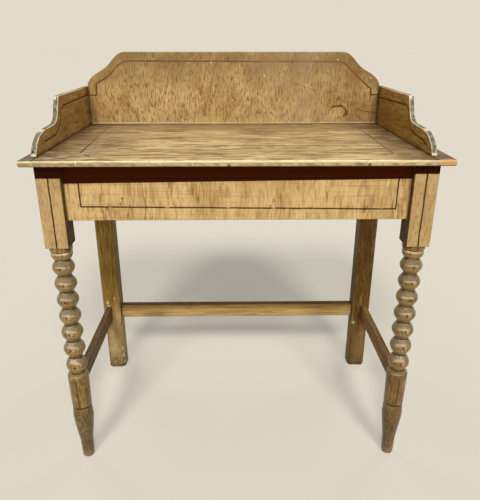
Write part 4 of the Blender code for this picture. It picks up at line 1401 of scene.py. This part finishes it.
    def block_finish(self, side: str, axis: float) -> Scumble:
        """Give the block's finish: fine upright strokes, one line down the front, and painted shade on its
        inner side and under the top.
        """
        low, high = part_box(f"front_{side}_leg")
        ends = Face(1, low.y).at((axis, self.block_bottom - 0.001), (axis, high.z))
        lining = (Line(ends, worn=0.30),)
        inner = abs(axis) - (high.x - low.x) / 2
        level = self.shade_levels[side]
        front = Limit(Axis.Y, low.y - 0.01, low.y + 0.0014)
        grime_and_painted_light = (
            # Painted shade: the inner side is darkened, and on the front face a dark band stands for the
            # top's shadow, lighter red-brown in its upper part inside the real shadow.
            Haze(Axis.SPREAD, inner + 0.0016, inner + 0.0004, screen(84, 52, 14), 0.95, scale=60.0,
                 even=0.7),
            Haze(Axis.Z, level - 0.0006, level + 0.0006, screen(44, 15, 4), 1.0, limits=(front,),
                 even=1.0),
            Haze(Axis.Z, 0.7325, 0.7385, screen(92, 36, 12), 1.0, limits=(front,), even=1.0),
        )
        return Scumble(f"leg_block_{side}_paint", Run.UPRIGHT,
                       *shades((217, 181, 121), (198, 161, 105), (134, 103, 58)), band=(16.0, 50.0),
                       fleck=(60.0, 240.0), depth=0.42, board_run=Run.UPRIGHT, timber=0.08, wear=0.5,
                       ground=screen(216, 194, 146), gloss=0.03, lining=lining, grime_and_painted_light=grime_and_painted_light)

    def turned_finish(self, side: str, axis: float, middle: float) -> Scumble:
        """Give the turning's finish: glossy brown, dark necks, a dot on each bobbin, a line on the barrel."""
        face = Face(1, middle - (self.barrel_top_radius + self.barrel_foot_radius) / 2)
        groove = self.block_bottom - self.ring_length - self.groove_length / 2
        lining = (
            BobbinDots(axis, middle, self.collar_bottom, self.barrel_top, self.bobbins, self.grade),
            Line(face.at((axis, self.foot_height + 0.004), (axis, self.barrel_line_top)), strength=0.8,
                 worn=0.36),
        )
        grime_and_painted_light = (
            # Dirt and painted shade in the necks, and a grey dusting with a painted sheen on upward faces.
            Necks(axis, middle, self.neck_radius + 0.0002, self.neck_radius + 0.0026,
                  self.barrel_top - self.barrel_shoulder),
            # Painted highlight: a pale band on the bead below the collar's groove.
            Haze(Axis.Z, 0.1, 0.2, screen(232, 206, 156), 0.70, scale=90.0,
                 limits=(Limit(Axis.Z, groove - 0.0056, groove - 0.0012),)),
            # Painted shade in the collar's groove.
            Haze(Axis.Z, 0.1, 0.2, screen(36, 20, 8), 0.90, scale=60.0,
                 limits=(Limit(Axis.Z, groove - 0.0011, groove + 0.0011),), even=0.7),
            # Painted shadow just under the block.
            Haze(Axis.Z, self.block_bottom - 0.0028, self.block_bottom - 0.0010, screen(44, 28, 10), 0.8,
                 scale=60.0),
            Haze(Axis.Z, self.barrel_top + 0.004, self.barrel_top - 0.004, screen(84, 60, 24), 0.40,
                 scale=60.0, even=0.1),
            Haze(Axis.Z, self.foot_height, self.foot_height - 0.01, screen(76, 64, 36), 0.80, scale=130.0,
                 even=0.2),
            Haze(Axis.Z, self.foot_height, self.foot_height - 0.03, screen(172, 152, 112), 0.45,
                 scale=170.0, even=0.0, clouds=(0.52, 0.72)),
            # Painted shade in the groove above the foot.
            Haze(Axis.Z, 0.170, 0.165, screen(30, 18, 8), 0.9, scale=60.0,
                 limits=(Limit(Axis.Z, self.foot_height - 0.0036, self.foot_height + 0.0034),), even=0.8),
            Haze(Axis.Z, 0.030, 0.004, screen(176, 148, 108), 0.8, scale=160.0, even=0.0),
        )
        # The right turning is painted darker than the left as painted shade.
        tones = {"left": shades((184, 149, 84), (150, 116, 58), (76, 50, 20)),
                 "right": shades((172, 133, 72), (138, 102, 48), (70, 45, 17))}
        return Scumble(f"leg_{side}_turning_paint", Run.UPRIGHT, *tones[side], band=(20.0, 44.0),
                       fleck=(44.0, 180.0), depth=0.7, board_run=Run.UPRIGHT, timber=0.12, wear=0.0,
                       rubbed=0.3, ground=screen(214, 180, 122), roughness=0.3, gloss=0.2, coat=0.5,
                       lining=lining, grime_and_painted_light=grime_and_painted_light)

    def dress(self) -> Iterator[bpy.types.Object]:
        """Finish the legs and tie them to the frame."""
        for side, blank in self.build():
            node = f"front_{side}_leg"
            axis, middle, _ = middle_of(node)
            finishes = (self.block_finish(side, axis).make(), self.turned_finish(side, axis, middle).make())
            yield blank.piece(f"turned_leg_{side}", (node,), "turned_scumble", finishes)


@dataclass
class BackLegs:
    """The two square back legs, whose feet are stop-chamfered."""

    sides: int = 8
    arris: float = 0.0016
    foot_chamfer: float = 0.008
    chamfer_top: float = 0.150
    foot_steps: int = 12
    tongue: float = 0.020
    tongue_steps: int = 8
    pitch: float = 0.02
    rounding: float = 0.0007
    rounding_steps: int = 2
    wear: float = 0.0007
    wear_length: float = 0.025

    def sections(self, top: float) -> Outline:
        """Give the height and chamfer of each section of the post above the floor."""
        levels = [(self.chamfer_top * step / self.foot_steps, self.foot_chamfer)
                  for step in range(1, self.foot_steps + 1)]
        for step in range(1, self.tongue_steps + 1):
            share = step / self.tongue_steps
            ease = share * share * (3 - 2 * share)
            levels.append((self.chamfer_top + self.tongue * share,
                           self.foot_chamfer + (self.arris - self.foot_chamfer) * ease))
        start = self.chamfer_top + self.tongue
        count = round((top - start) / self.pitch)
        return levels + [(start + (top - start) * step / count, self.arris) for step in range(1, count + 1)]

    def build(self) -> Iterator[tuple[str, Blank]]:
        """Shape the posts by drawing an eight-sided section upwards.

        Yields:
            Each post's side and its blank.
        """
        for side, hand in SIDES:
            low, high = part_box(f"back_{side}_leg")
            half = (high.x - low.x) / 2
            blank = Blank()
            bmesh.ops.create_circle(blank.mesh, cap_ends=True, segments=self.sides, radius=half,
                                    matrix=Matrix.Rotation(math.pi / self.sides, 4, "Z"))
            self.shape_section(list(blank.mesh.verts), half, 0.0, self.foot_chamfer)
            face = list(blank.mesh.faces)[0]
            for level, chamfer in self.sections(high.z):
                face = blank.draw_out(face)
                self.shape_section(list(face.verts), half, level, chamfer)
            blank.face_out().ease(self.rounding, self.rounding_steps)
            blank.rub(self.wear, self.wear_length, 11.0 * hand)
            middle = middle_of(f"back_{side}_leg")
            yield side, blank.shift((middle.x, middle.y, 0))

    @staticmethod
    def shape_section(corners: list[bmesh.types.BMVert], half: float, level: float, chamfer: float) -> None:
        """Set eight corners to a square section with its arrises taken off."""
        for vert in corners:
            wide = abs(vert.co.x) > abs(vert.co.y)
            across = half if wide else half - chamfer
            deep = half - chamfer if wide else half
            vert.co = (math.copysign(across, vert.co.x), math.copysign(deep, vert.co.y), level)

    def dress(self) -> Iterator[bpy.types.Object]:
        """Finish the posts and tie them to the frame."""
        # The right post is painted darker than the left as painted shade.
        tones = {"left": shades((170, 133, 62), (142, 106, 44), (94, 66, 21)),
                 "right": shades((134, 98, 46), (108, 76, 32), (72, 48, 17))}
        for side, blank in self.build():
            paint = Scumble(f"back_leg_{side}_paint", Run.UPRIGHT, *tones[side], band=(6.0, 36.0),
                            fleck=(16.0, 160.0), depth=0.55, board_run=Run.UPRIGHT, timber=0.12,
                            wear=0.75, rubbed=0.3, ground=screen(216, 192, 144), scratched=0.3,
                            grime_and_painted_light=self.marks(side))
            node = f"back_{side}_leg"
            yield blank.piece(f"back_post_{side}", (node,), "frame_scumble", (paint.make(),))

    @staticmethod
    def marks(side: str) -> tuple[Mark, ...]:
        """Give one post's marks: the foot painted paler below the rails as painted light, its dirty end and
        single scuffs.
        """
        front = Face(1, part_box(f"back_{side}_leg")[0].y)
        dirt_and_shade = (
            Haze(Axis.Z, 0.070, 0.015, screen(84, 74, 54), 0.9, scale=90.0, even=0.1),
            Haze(Axis.Z, 0.016, 0.0, SOOT, 0.6, scale=90.0),
        )
        if side == "left":
            chips = front.at((-0.3647, 0.068), (-0.3637, 0.042), (-0.3623, 0.019))
            return (
                # Painted light: the left foot is painted paler below the rails, where light reaches in under
                # the apron.
                Haze(Axis.Z, 0.225, 0.185, screen(204, 174, 124), 0.70, scale=45.0, even=0.4),
                *dirt_and_shade,
                Spots(front.at((-0.3953, 0.2196), (-0.3971, 0.2335)), (0.004, 0.01, 0.006), CREAM, 0.7),
                Spots(chips, (0.0026, 0.012, 0.010), CREAM, 0.75),
                Spots(front.at((-0.3759, 0.2471)), (0.004, 0.01, 0.005), screen(220, 190, 130), 0.5),
            )
        return (
            # Painted light: the right foot is painted paler below the rails.
            Haze(Axis.Z, 0.180, 0.150, screen(146, 114, 70), 0.60, scale=45.0, even=0.4),
            Haze(Axis.X, 0.3635, 0.3575, screen(120, 112, 92), 0.75, scale=60.0,
                 limits=(Limit(Axis.Z, 0.02, 0.17, 0.01),)),
            *dirt_and_shade,
            Spots(front.at((0.3856, 0.2995)), (0.0028, 0.01, 0.0034), SOOT, 0.7),
            Spots(front.at((0.3660, 0.1568)), (0.006, 0.01, 0.006), CREAM, 0.8),
            Spots(front.at((0.3930, 0.2080)), (0.012, 0.01, 0.012), screen(62, 46, 26), 0.6),
        )


@dataclass
class Framing:
    """Boards that run from leg to leg, their arrises eased and rubbed."""

    arris: float = 0.0010
    wear: float = 0.0004
    wear_length: float = 0.02
    pitch: float = 0.006

    def board(self, node: str, axis: int, legs: tuple[str, str], seed: float, socket: float = 0.0) -> Blank:
        """Shape the length of a board that shows between two legs.

        Args:
            node: The board's solid.
            axis: The axis that it runs along: 0 for X and 1 for Y.
            legs: The legs where it starts and ends.
            seed: Shift that makes its wear unlike another board's.
            socket: How far it enters the box of the first leg.

        Returns:
            The board.
        """
        low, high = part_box(node)
        low[axis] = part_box(legs[0])[1][axis] - socket
        high[axis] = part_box(legs[1])[0][axis]
        blank = Blank.sawn(low, high).rule(axis, self.pitch).ease(self.arris)
        return blank.rub(self.wear, self.wear_length, seed)


@dataclass
class Aprons(Framing):
    """The four aprons under the top; only the front one is lined."""

    left_line: float = -0.327
    right_line: float = 0.331
    low_line: float = 0.6575
    line_slant: float = 0.0038
    shade_left: float = 0.7101
    shade_right: float = 0.7188

    def build(self) -> Iterator[tuple[str, Blank]]:
        """Shape the boards between the legs, bare on their inner sides, and the back one on both.

        Yields:
            Each board's solid and its blank.
        """
        for end, inward in (("front", 1), ("back", -1)):
            node = f"{end}_apron"
            blank = self.board(node, 0, (f"{end}_left_leg", f"{end}_right_leg"), 13.0 * inward)
            blank.reface(1, lambda face: face.normal.y > FACING)
            if end == "back":
                blank.reface(1, lambda face: face.normal.y < -FACING)
            yield node, blank
        for side, hand in SIDES:
            node = f"{side}_apron"
            blank = self.board(node, 1, (f"front_{side}_leg", f"back_{side}_leg"), 17.0 * hand)
            yield node, blank.reface(1, lambda face: face.normal.x * hand < -FACING)

    def front_finish(self) -> Scumble:
        """Give the front apron's finish: wavy upright bands inside a painted line, and a painted shadow under
        the top.
        """
        low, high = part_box("front_apron")
        course = ((self.left_line, high.z), (self.left_line, self.low_line + self.line_slant),
                  (self.right_line, self.low_line - self.line_slant), (self.right_line, high.z))
        front = Face(1, low.y)
        lining = (Line(front.at(*course), worn=0.32),)
        grime_and_painted_light = (
            Spots(front.at((-0.2401, 0.679), (-0.2439, 0.6674)), (0.003, 0.01, 0.003), SOOT, 0.65),
            Haze(Axis.SPREAD, 0.352, 0.3585, GRIME, 0.55, scale=50.0),
            # Painted shadow: a dark band under the top's overhang, and over its upper part, inside the real
            # shadow, a red-brown painted shade.
            self.shaded(low, high),
            Haze(Axis.Z, 0.7215, 0.7280, PAINTED_SHADE_RED, 1.0, even=1.0),
        )
        return Scumble("front_apron_paint", Run.UPRIGHT,
                       *shades((237, 199, 134), (212, 172, 109), (124, 84, 37)), band=(10.0, 26.0),
                       fleck=(22.0, 130.0), depth=0.36, warp=0.010, vein=(5.0, 44.0), vein_depth=0.6,
                       timber=0.26, wear=0.4, ground=screen(244, 222, 168), scratched=0.35, gloss=0.03,
                       lining=lining, grime_and_painted_light=grime_and_painted_light)

    def shaded(self, low: Vector, high: Vector) -> Line:
        """Give the painted shadow under the top's overhang: a dark band, a little lower at its left end."""
        width = 2 * (high.z - min(self.shade_left, self.shade_right))
        ends = ((low.x, self.shade_left + width / 2), (high.x, self.shade_right + width / 2))
        return Line(Face(1, low.y).at(*ends), strength=1.0, width=width, worn=-1.0, tremor=0.0,
                    colour=PAINTED_SHADOW)

    def dress(self) -> Iterator[bpy.types.Object]:
        """Finish the boards and tie them to the frame."""
        plain = Scumble("side_apron_paint", Run.UPRIGHT,
                        *shades((204, 168, 110), (178, 142, 84), (126, 94, 50)), band=(7.0, 30.0),
                        fleck=(12.0, 120.0), warp=0.010, board_run=Run.DEEP, wear=0.5,
                        ground=screen(228, 206, 158))
        long = (self.front_finish().make(), BarePine("front_apron_inside", Run.ALONG).make())
        short = (plain.make(), BarePine("side_apron_inside", Run.DEEP).make())
        for node, blank in self.build():
            finishes = long if node in ("front_apron", "back_apron") else short
            yield blank.piece(f"{node}_board", (node,), "frame_scumble", finishes)


@dataclass
class Stretchers(Framing):
    """The three low stretchers."""

    arris: float = 0.0022
    wear: float = 0.0012
    wear_length: float = 0.04
    pitch: float = 0.005
    socket_depth: float = 0.014

    def build(self) -> Iterator[tuple[str, Blank]]:
        """Shape the rails; the side ones run into the barrels of the front legs.

        Yields:
            Each rail's solid and its blank.
        """
        yield "back_stretcher", self.board("back_stretcher", 0, ("back_left_leg", "back_right_leg"), 19.0)
        for side, hand in SIDES:
            node = f"{side}_stretcher"
            legs = (f"front_{side}_leg", f"back_{side}_leg")
            yield node, self.board(node, 1, legs, 23.0 * hand, self.socket_depth)

    def dress(self) -> Iterator[bpy.types.Object]:
        """Finish the rails and tie them to the frame."""
        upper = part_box("back_stretcher")[1].z
        dirt_and_shade = (
            Haze(Axis.SPREAD, 0.33, 0.36, GRIME, 0.4),
            # Painted shadow: the back rail darkens towards its top, where the edge of the apron's shadow
            # falls; the dark line along its top is dirt deepened with painted shade.
            Haze(Axis.Z, upper - 0.024, upper - 0.004, screen(96, 68, 32), 0.55, even=0.9),
            Haze(Axis.Z, upper - 0.0048, upper - 0.0020, screen(40, 18, 4), 0.85, scale=60.0, even=0.8),
        )
        golden = Scumble("back_stretcher_paint", Run.ALONG,
                         *shades((228, 189, 119), (198, 159, 92), (124, 90, 44)), band=(4.0, 40.0),
                         fleck=(12.0, 210.0), depth=0.55, wear=0.35, ground=screen(214, 184, 128),
                         grime_and_painted_light=dirt_and_shade)
        finishes = {"back_stretcher": golden.make()}
        # The side rails are painted darker than the back rail, the left one most, partly as painted shade
        # under the top.
        tones = {"left": shades((120, 92, 60), (98, 74, 46), (60, 42, 24)),
                 "right": shades((158, 120, 62), (130, 96, 46), (82, 56, 26))}
        for side, hand in SIDES:
            low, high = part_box(f"{side}_stretcher")
            outer = high.x if hand > 0 else -low.x
            dirt_and_shade = (
                Haze(Axis.Z, high.z - 0.004, high.z - 0.0005, screen(66, 50, 34), 0.6, scale=50.0),
                Haze(Axis.SPREAD, outer - 0.007, outer - 0.001, screen(52, 34, 20), 0.75, scale=50.0),
            )
            paint = Scumble(f"{side}_stretcher_paint", Run.DEEP, *tones[side], band=(4.0, 40.0),
                            fleck=(12.0, 210.0), depth=0.6, board_run=Run.DEEP, wear=0.55,
                            ground=screen(190, 160, 112), scratched=0.5, grime_and_painted_light=dirt_and_shade)
            finishes[f"{side}_stretcher"] = paint.make()
        for node, blank in self.build():
            yield blank.piece(f"{node}_rail", (node,), "frame_scumble", (finishes[node],))


@dataclass
class Fixings:
    """Glue blocks, screws and nails that hold the washstand together."""

    sides: int = 28
    head_radius: float = 0.0038
    shank_radius: float = 0.0018
    point_radius: float = 0.00072
    head_depth: float = 0.003
    slot_width: float = 0.0010
    slot_reach: float = 0.0028
    slot_depth: float = 0.0009
    proud: float = 0.0004
    nail_sides: int = 16
    nail_radius: float = 0.0024
    nail_shank: float = 0.00108
    nail_tip: float = 0.00036
    nail_point: float = 0.004
    nail_neck: float = 0.001
    nail_rim: float = 0.0006
    nail_dome: tuple[Flat, ...] = ((0.95, 0.0), (0.6, 1.0), (0.2, 1.3))

    def screws(self) -> Iterator[tuple[str, Blank]]:
        """Shape the slotted screws under the top, pointing up.

        Yields:
            Each screw's solid and its blank.
        """
        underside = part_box("top_front_board")[0].z
        for node in sorted(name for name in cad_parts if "_screw_" in name):
            low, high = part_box(node)
            blank = Blank()
            bmesh.ops.create_circle(blank.mesh, cap_ends=True, segments=self.sides, radius=self.head_radius)
            slot = ((self.slot_width / 2, Vector((0, 1, 0))), (self.slot_reach, Vector((1, 0, 0))))
            for reach, across in slot:
                for end in (-reach, reach):
                    whole = [*blank.mesh.verts, *blank.mesh.edges, *blank.mesh.faces]
                    bmesh.ops.bisect_plane(blank.mesh, geom=whole, plane_co=across * end, plane_no=across)
            groove = blank.draw_out(min(blank.mesh.faces, key=lambda face: face.calc_center_median().length))
            bmesh.ops.translate(blank.mesh, vec=(0, 0, self.slot_depth), verts=list(groove.verts))
            rim = [edge for edge in blank.mesh.edges if edge.is_boundary]
            sections = ((self.head_depth, self.shank_radius), (high.z - low.z, self.point_radius))
            for rise, radius in sections:
                rim = blank.draw_rim(rim, lambda spot: (*(spot.xy.normalized() * radius), rise))
            bmesh.ops.edgeloop_fill(blank.mesh, edges=rim)
            middle = middle_of(node)
            yield node, blank.face_out().shift((middle.x, middle.y, underside - self.proud))

    def nails(self) -> Iterator[tuple[str, Blank]]:
        """Shape the nails through the cheeks, with flat domed heads outside.

        Yields:
            Each nail's solid and its blank.
        """
        for node in sorted(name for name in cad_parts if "_nail_" in name):
            low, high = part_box(node)
            hand = 1 if low.x > 0 else -1
            length = high.x - low.x
            profile = [(self.nail_tip, length), (self.nail_shank, length - self.nail_point),
                       (self.nail_shank, self.nail_neck), (self.nail_radius, self.nail_rim)]
            profile += [(self.nail_radius * width, -self.proud * rise) for width, rise in self.nail_dome]
            blank = Blank.turned(profile, self.nail_sides)
            bmesh.ops.edgeloop_fill(blank.mesh, edges=blank.rim(upper=True))
            for vert in blank.mesh.verts:
                vert.co = (-hand * vert.co.z, vert.co.y, hand * vert.co.x)
            face = high.x if hand > 0 else low.x
            middle = middle_of(node)
            yield node, blank.face_out().shift((face + hand * self.proud, middle.y, middle.z))

    def dress(self) -> Iterator[bpy.types.Object]:
        """Finish the fixings and tie them to the frame; the glue blocks keep their solids."""
        iron = Iron("old_iron").make()
        for shapes in (self.screws(), self.nails()):
            for node, blank in shapes:
                yield blank.piece(f"{node}_iron", (node,), "iron", (iron,))
        pine = {"long": BarePine("long_glue_block", Run.ALONG).make(),
                "side": BarePine("side_glue_block", Run.DEEP).make()}
        for node in sorted(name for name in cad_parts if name.startswith("glue_block")):
            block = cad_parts[node]
            block.data.materials.clear()
            block.data.materials.append(pine["long" if "front" in node or "back" in node else "side"])
            yield block


@dataclass(frozen=True)
class Sun:
    """A distant lamp, placed by its turn from the front and its height in degrees."""

    name: str
    turn: float
    height: float
    strength: float
    width: float

    @property
    def aim(self) -> Vector:
        """Way that its light goes."""
        turn, height = math.radians(self.turn), math.radians(self.height)
        return Vector((-math.sin(turn), math.cos(turn), -math.tan(height)))

    @property
    def on_floor(self) -> float:
        """Brightness that it gives a white floor."""
        return self.strength * math.sin(math.radians(self.height)) / math.pi


@dataclass
class Studio:
    """Floor, light and camera round the washstand."""

    eye: Point = (-0.0114, -1.2613, 0.9839)
    yaw: float = 0.839
    pitch: float = -21.868
    focal_pixels: float = 524.2
    floor_reach: float = 40.0
    floor_bounce: Colour = screen(76, 70, 60)
    background: Colour = screen(226, 219, 204)
    suns: tuple[Sun, ...] = (
        Sun("key_left", -15.0, 43.3, 1.65, 13.0),
        Sun("key_right", 15.0, 43.3, 1.65, 13.0),
        Sun("fill_left", -140.0, 30.0, 0.45, 30.0),
        Sun("fill_right", 140.0, 30.0, 0.45, 30.0),
    )
    sun_distance: float = 3.0
    card_spot: Point = (-0.3, -2.6, 1.4)
    card_aim: Point = (0.0, -0.2, 0.4)
    card_size: Flat = (12.0, 0.35)
    card_power: float = 270.0
    sky: float = 0.26
    floor_glow: float = 0.25

    @property
    def floor_colour(self) -> Colour:
        """Colour that shows as the background does when it glows and the suns and the sky light it."""
        light = sum(sun.on_floor for sun in self.suns) + self.sky
        return tuple(value * (1 - self.floor_glow) / light for value in self.background)

    def build(self) -> None:
        """Set up the floor, the light, the background and the camera."""
        self.lay_floor()
        self.hang_suns()
        self.stand_card()
        self.paint_world()
        self.place_camera()
        bpy.context.scene.view_settings.view_transform = "Standard"

    def lay_floor(self) -> None:
        """Make the plain pale floor, which throws back less light than it shows."""
        shape = bmesh.new()
        bmesh.ops.create_grid(shape, x_segments=1, y_segments=1, size=self.floor_reach)
        mesh = bpy.data.meshes.new("floor")
        shape.to_mesh(mesh)
        shape.free()
        brush = Brush("pale_floor")
        share = brush.seen()
        glow = tuple(value * self.floor_glow for value in self.background)
        brush.feed(brush.shader, {
            "Base Color": brush.mix(share, self.floor_bounce, self.floor_colour),
            "Emission Color": brush.mix(share, (0.0, 0.0, 0.0), glow),
            "Emission Strength": 1.0,
            "Roughness": 0.9,
            "Specular IOR Level": 0.0,
        })
        mesh.materials.append(brush.material)
        floor = bpy.data.objects.new("floor", mesh)
        bpy.context.scene.collection.objects.link(floor)
        floor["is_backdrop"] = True

    @staticmethod
    def place_lamp(data: bpy.types.Light, spot: Point, aim: Vector) -> bpy.types.Object:
        """Place a lamp and point it along a direction."""
        lamp = bpy.data.objects.new(data.name, data)
        lamp.location = spot
        lamp.rotation_euler = aim.to_track_quat("-Z", "Y").to_euler()
        bpy.context.scene.collection.objects.link(lamp)
        return lamp

    def hang_suns(self) -> None:
        """Hang two broad keys, left and right of the camera and above it, and two weak fills behind."""
        for sun in self.suns:
            data = bpy.data.lights.new(sun.name, "SUN")
            data.energy = sun.strength
            data.angle = math.radians(sun.width)
            lamp = self.place_lamp(data, tuple(-self.sun_distance * sun.aim), sun.aim)
            lamp.visible_glossy = False

    def stand_card(self) -> None:
        """Stand a bright card high in front, which shows only as a sheen on glossy paint."""
        data = bpy.data.lights.new("front_card", "AREA")
        data.shape = "RECTANGLE"
        data.size, data.size_y = self.card_size
        data.energy = self.card_power
        aim = Vector(self.card_aim) - Vector(self.card_spot)
        self.place_lamp(data, self.card_spot, aim).visible_diffuse = False

    def paint_world(self) -> None:
        """Fill the room with a low even light, shown as the pale background."""
        world = bpy.data.worlds.new("studio")
        world.use_nodes = True
        bpy.context.scene.world = world
        wiring = Wiring(world.node_tree)
        colour = wiring.mix(wiring.seen(), (self.sky, self.sky, self.sky), self.background)
        wiring.feed(world.node_tree.nodes["Background"], {"Color": colour})

    def place_camera(self) -> None:
        """Place the camera at the photograph's point of view."""
        data = bpy.data.cameras.new("camera")
        data.sensor_width = SENSOR_WIDTH
        data.lens = self.focal_pixels / PHOTO_LONG_SIDE * SENSOR_WIDTH
        camera = bpy.data.objects.new("camera", data)
        camera.location = self.eye
        camera.rotation_euler = (math.radians(90 + self.pitch), 0.0, math.radians(-self.yaw))
        bpy.context.scene.collection.objects.link(camera)
        bpy.context.scene.camera = camera


def write_sizes() -> None:
    """Measure the box of the solids and the box of the dressed washstand; the result is not kept."""
    boxes = {"cad": CAD_BOX, "visual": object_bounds()}
    {name: [list(corner) for corner in box] for name, box in boxes.items()}


def main() -> None:
    """Build and dress every sub-assembly, then set up the studio."""
    logging.basicConfig(level=logging.INFO, format="%(message)s")
    for assembly in (TableTop(), Gallery(), FrontLegs(), BackLegs(), Aprons(), Stretchers(), Fixings()):
        for piece in assembly.dress():
            LOG.info("%s: %s, %d faces", type(assembly).__name__, piece.name, len(piece.data.polygons))
    Studio().build()
    write_sizes()


if __name__ == "__main__":
    main()
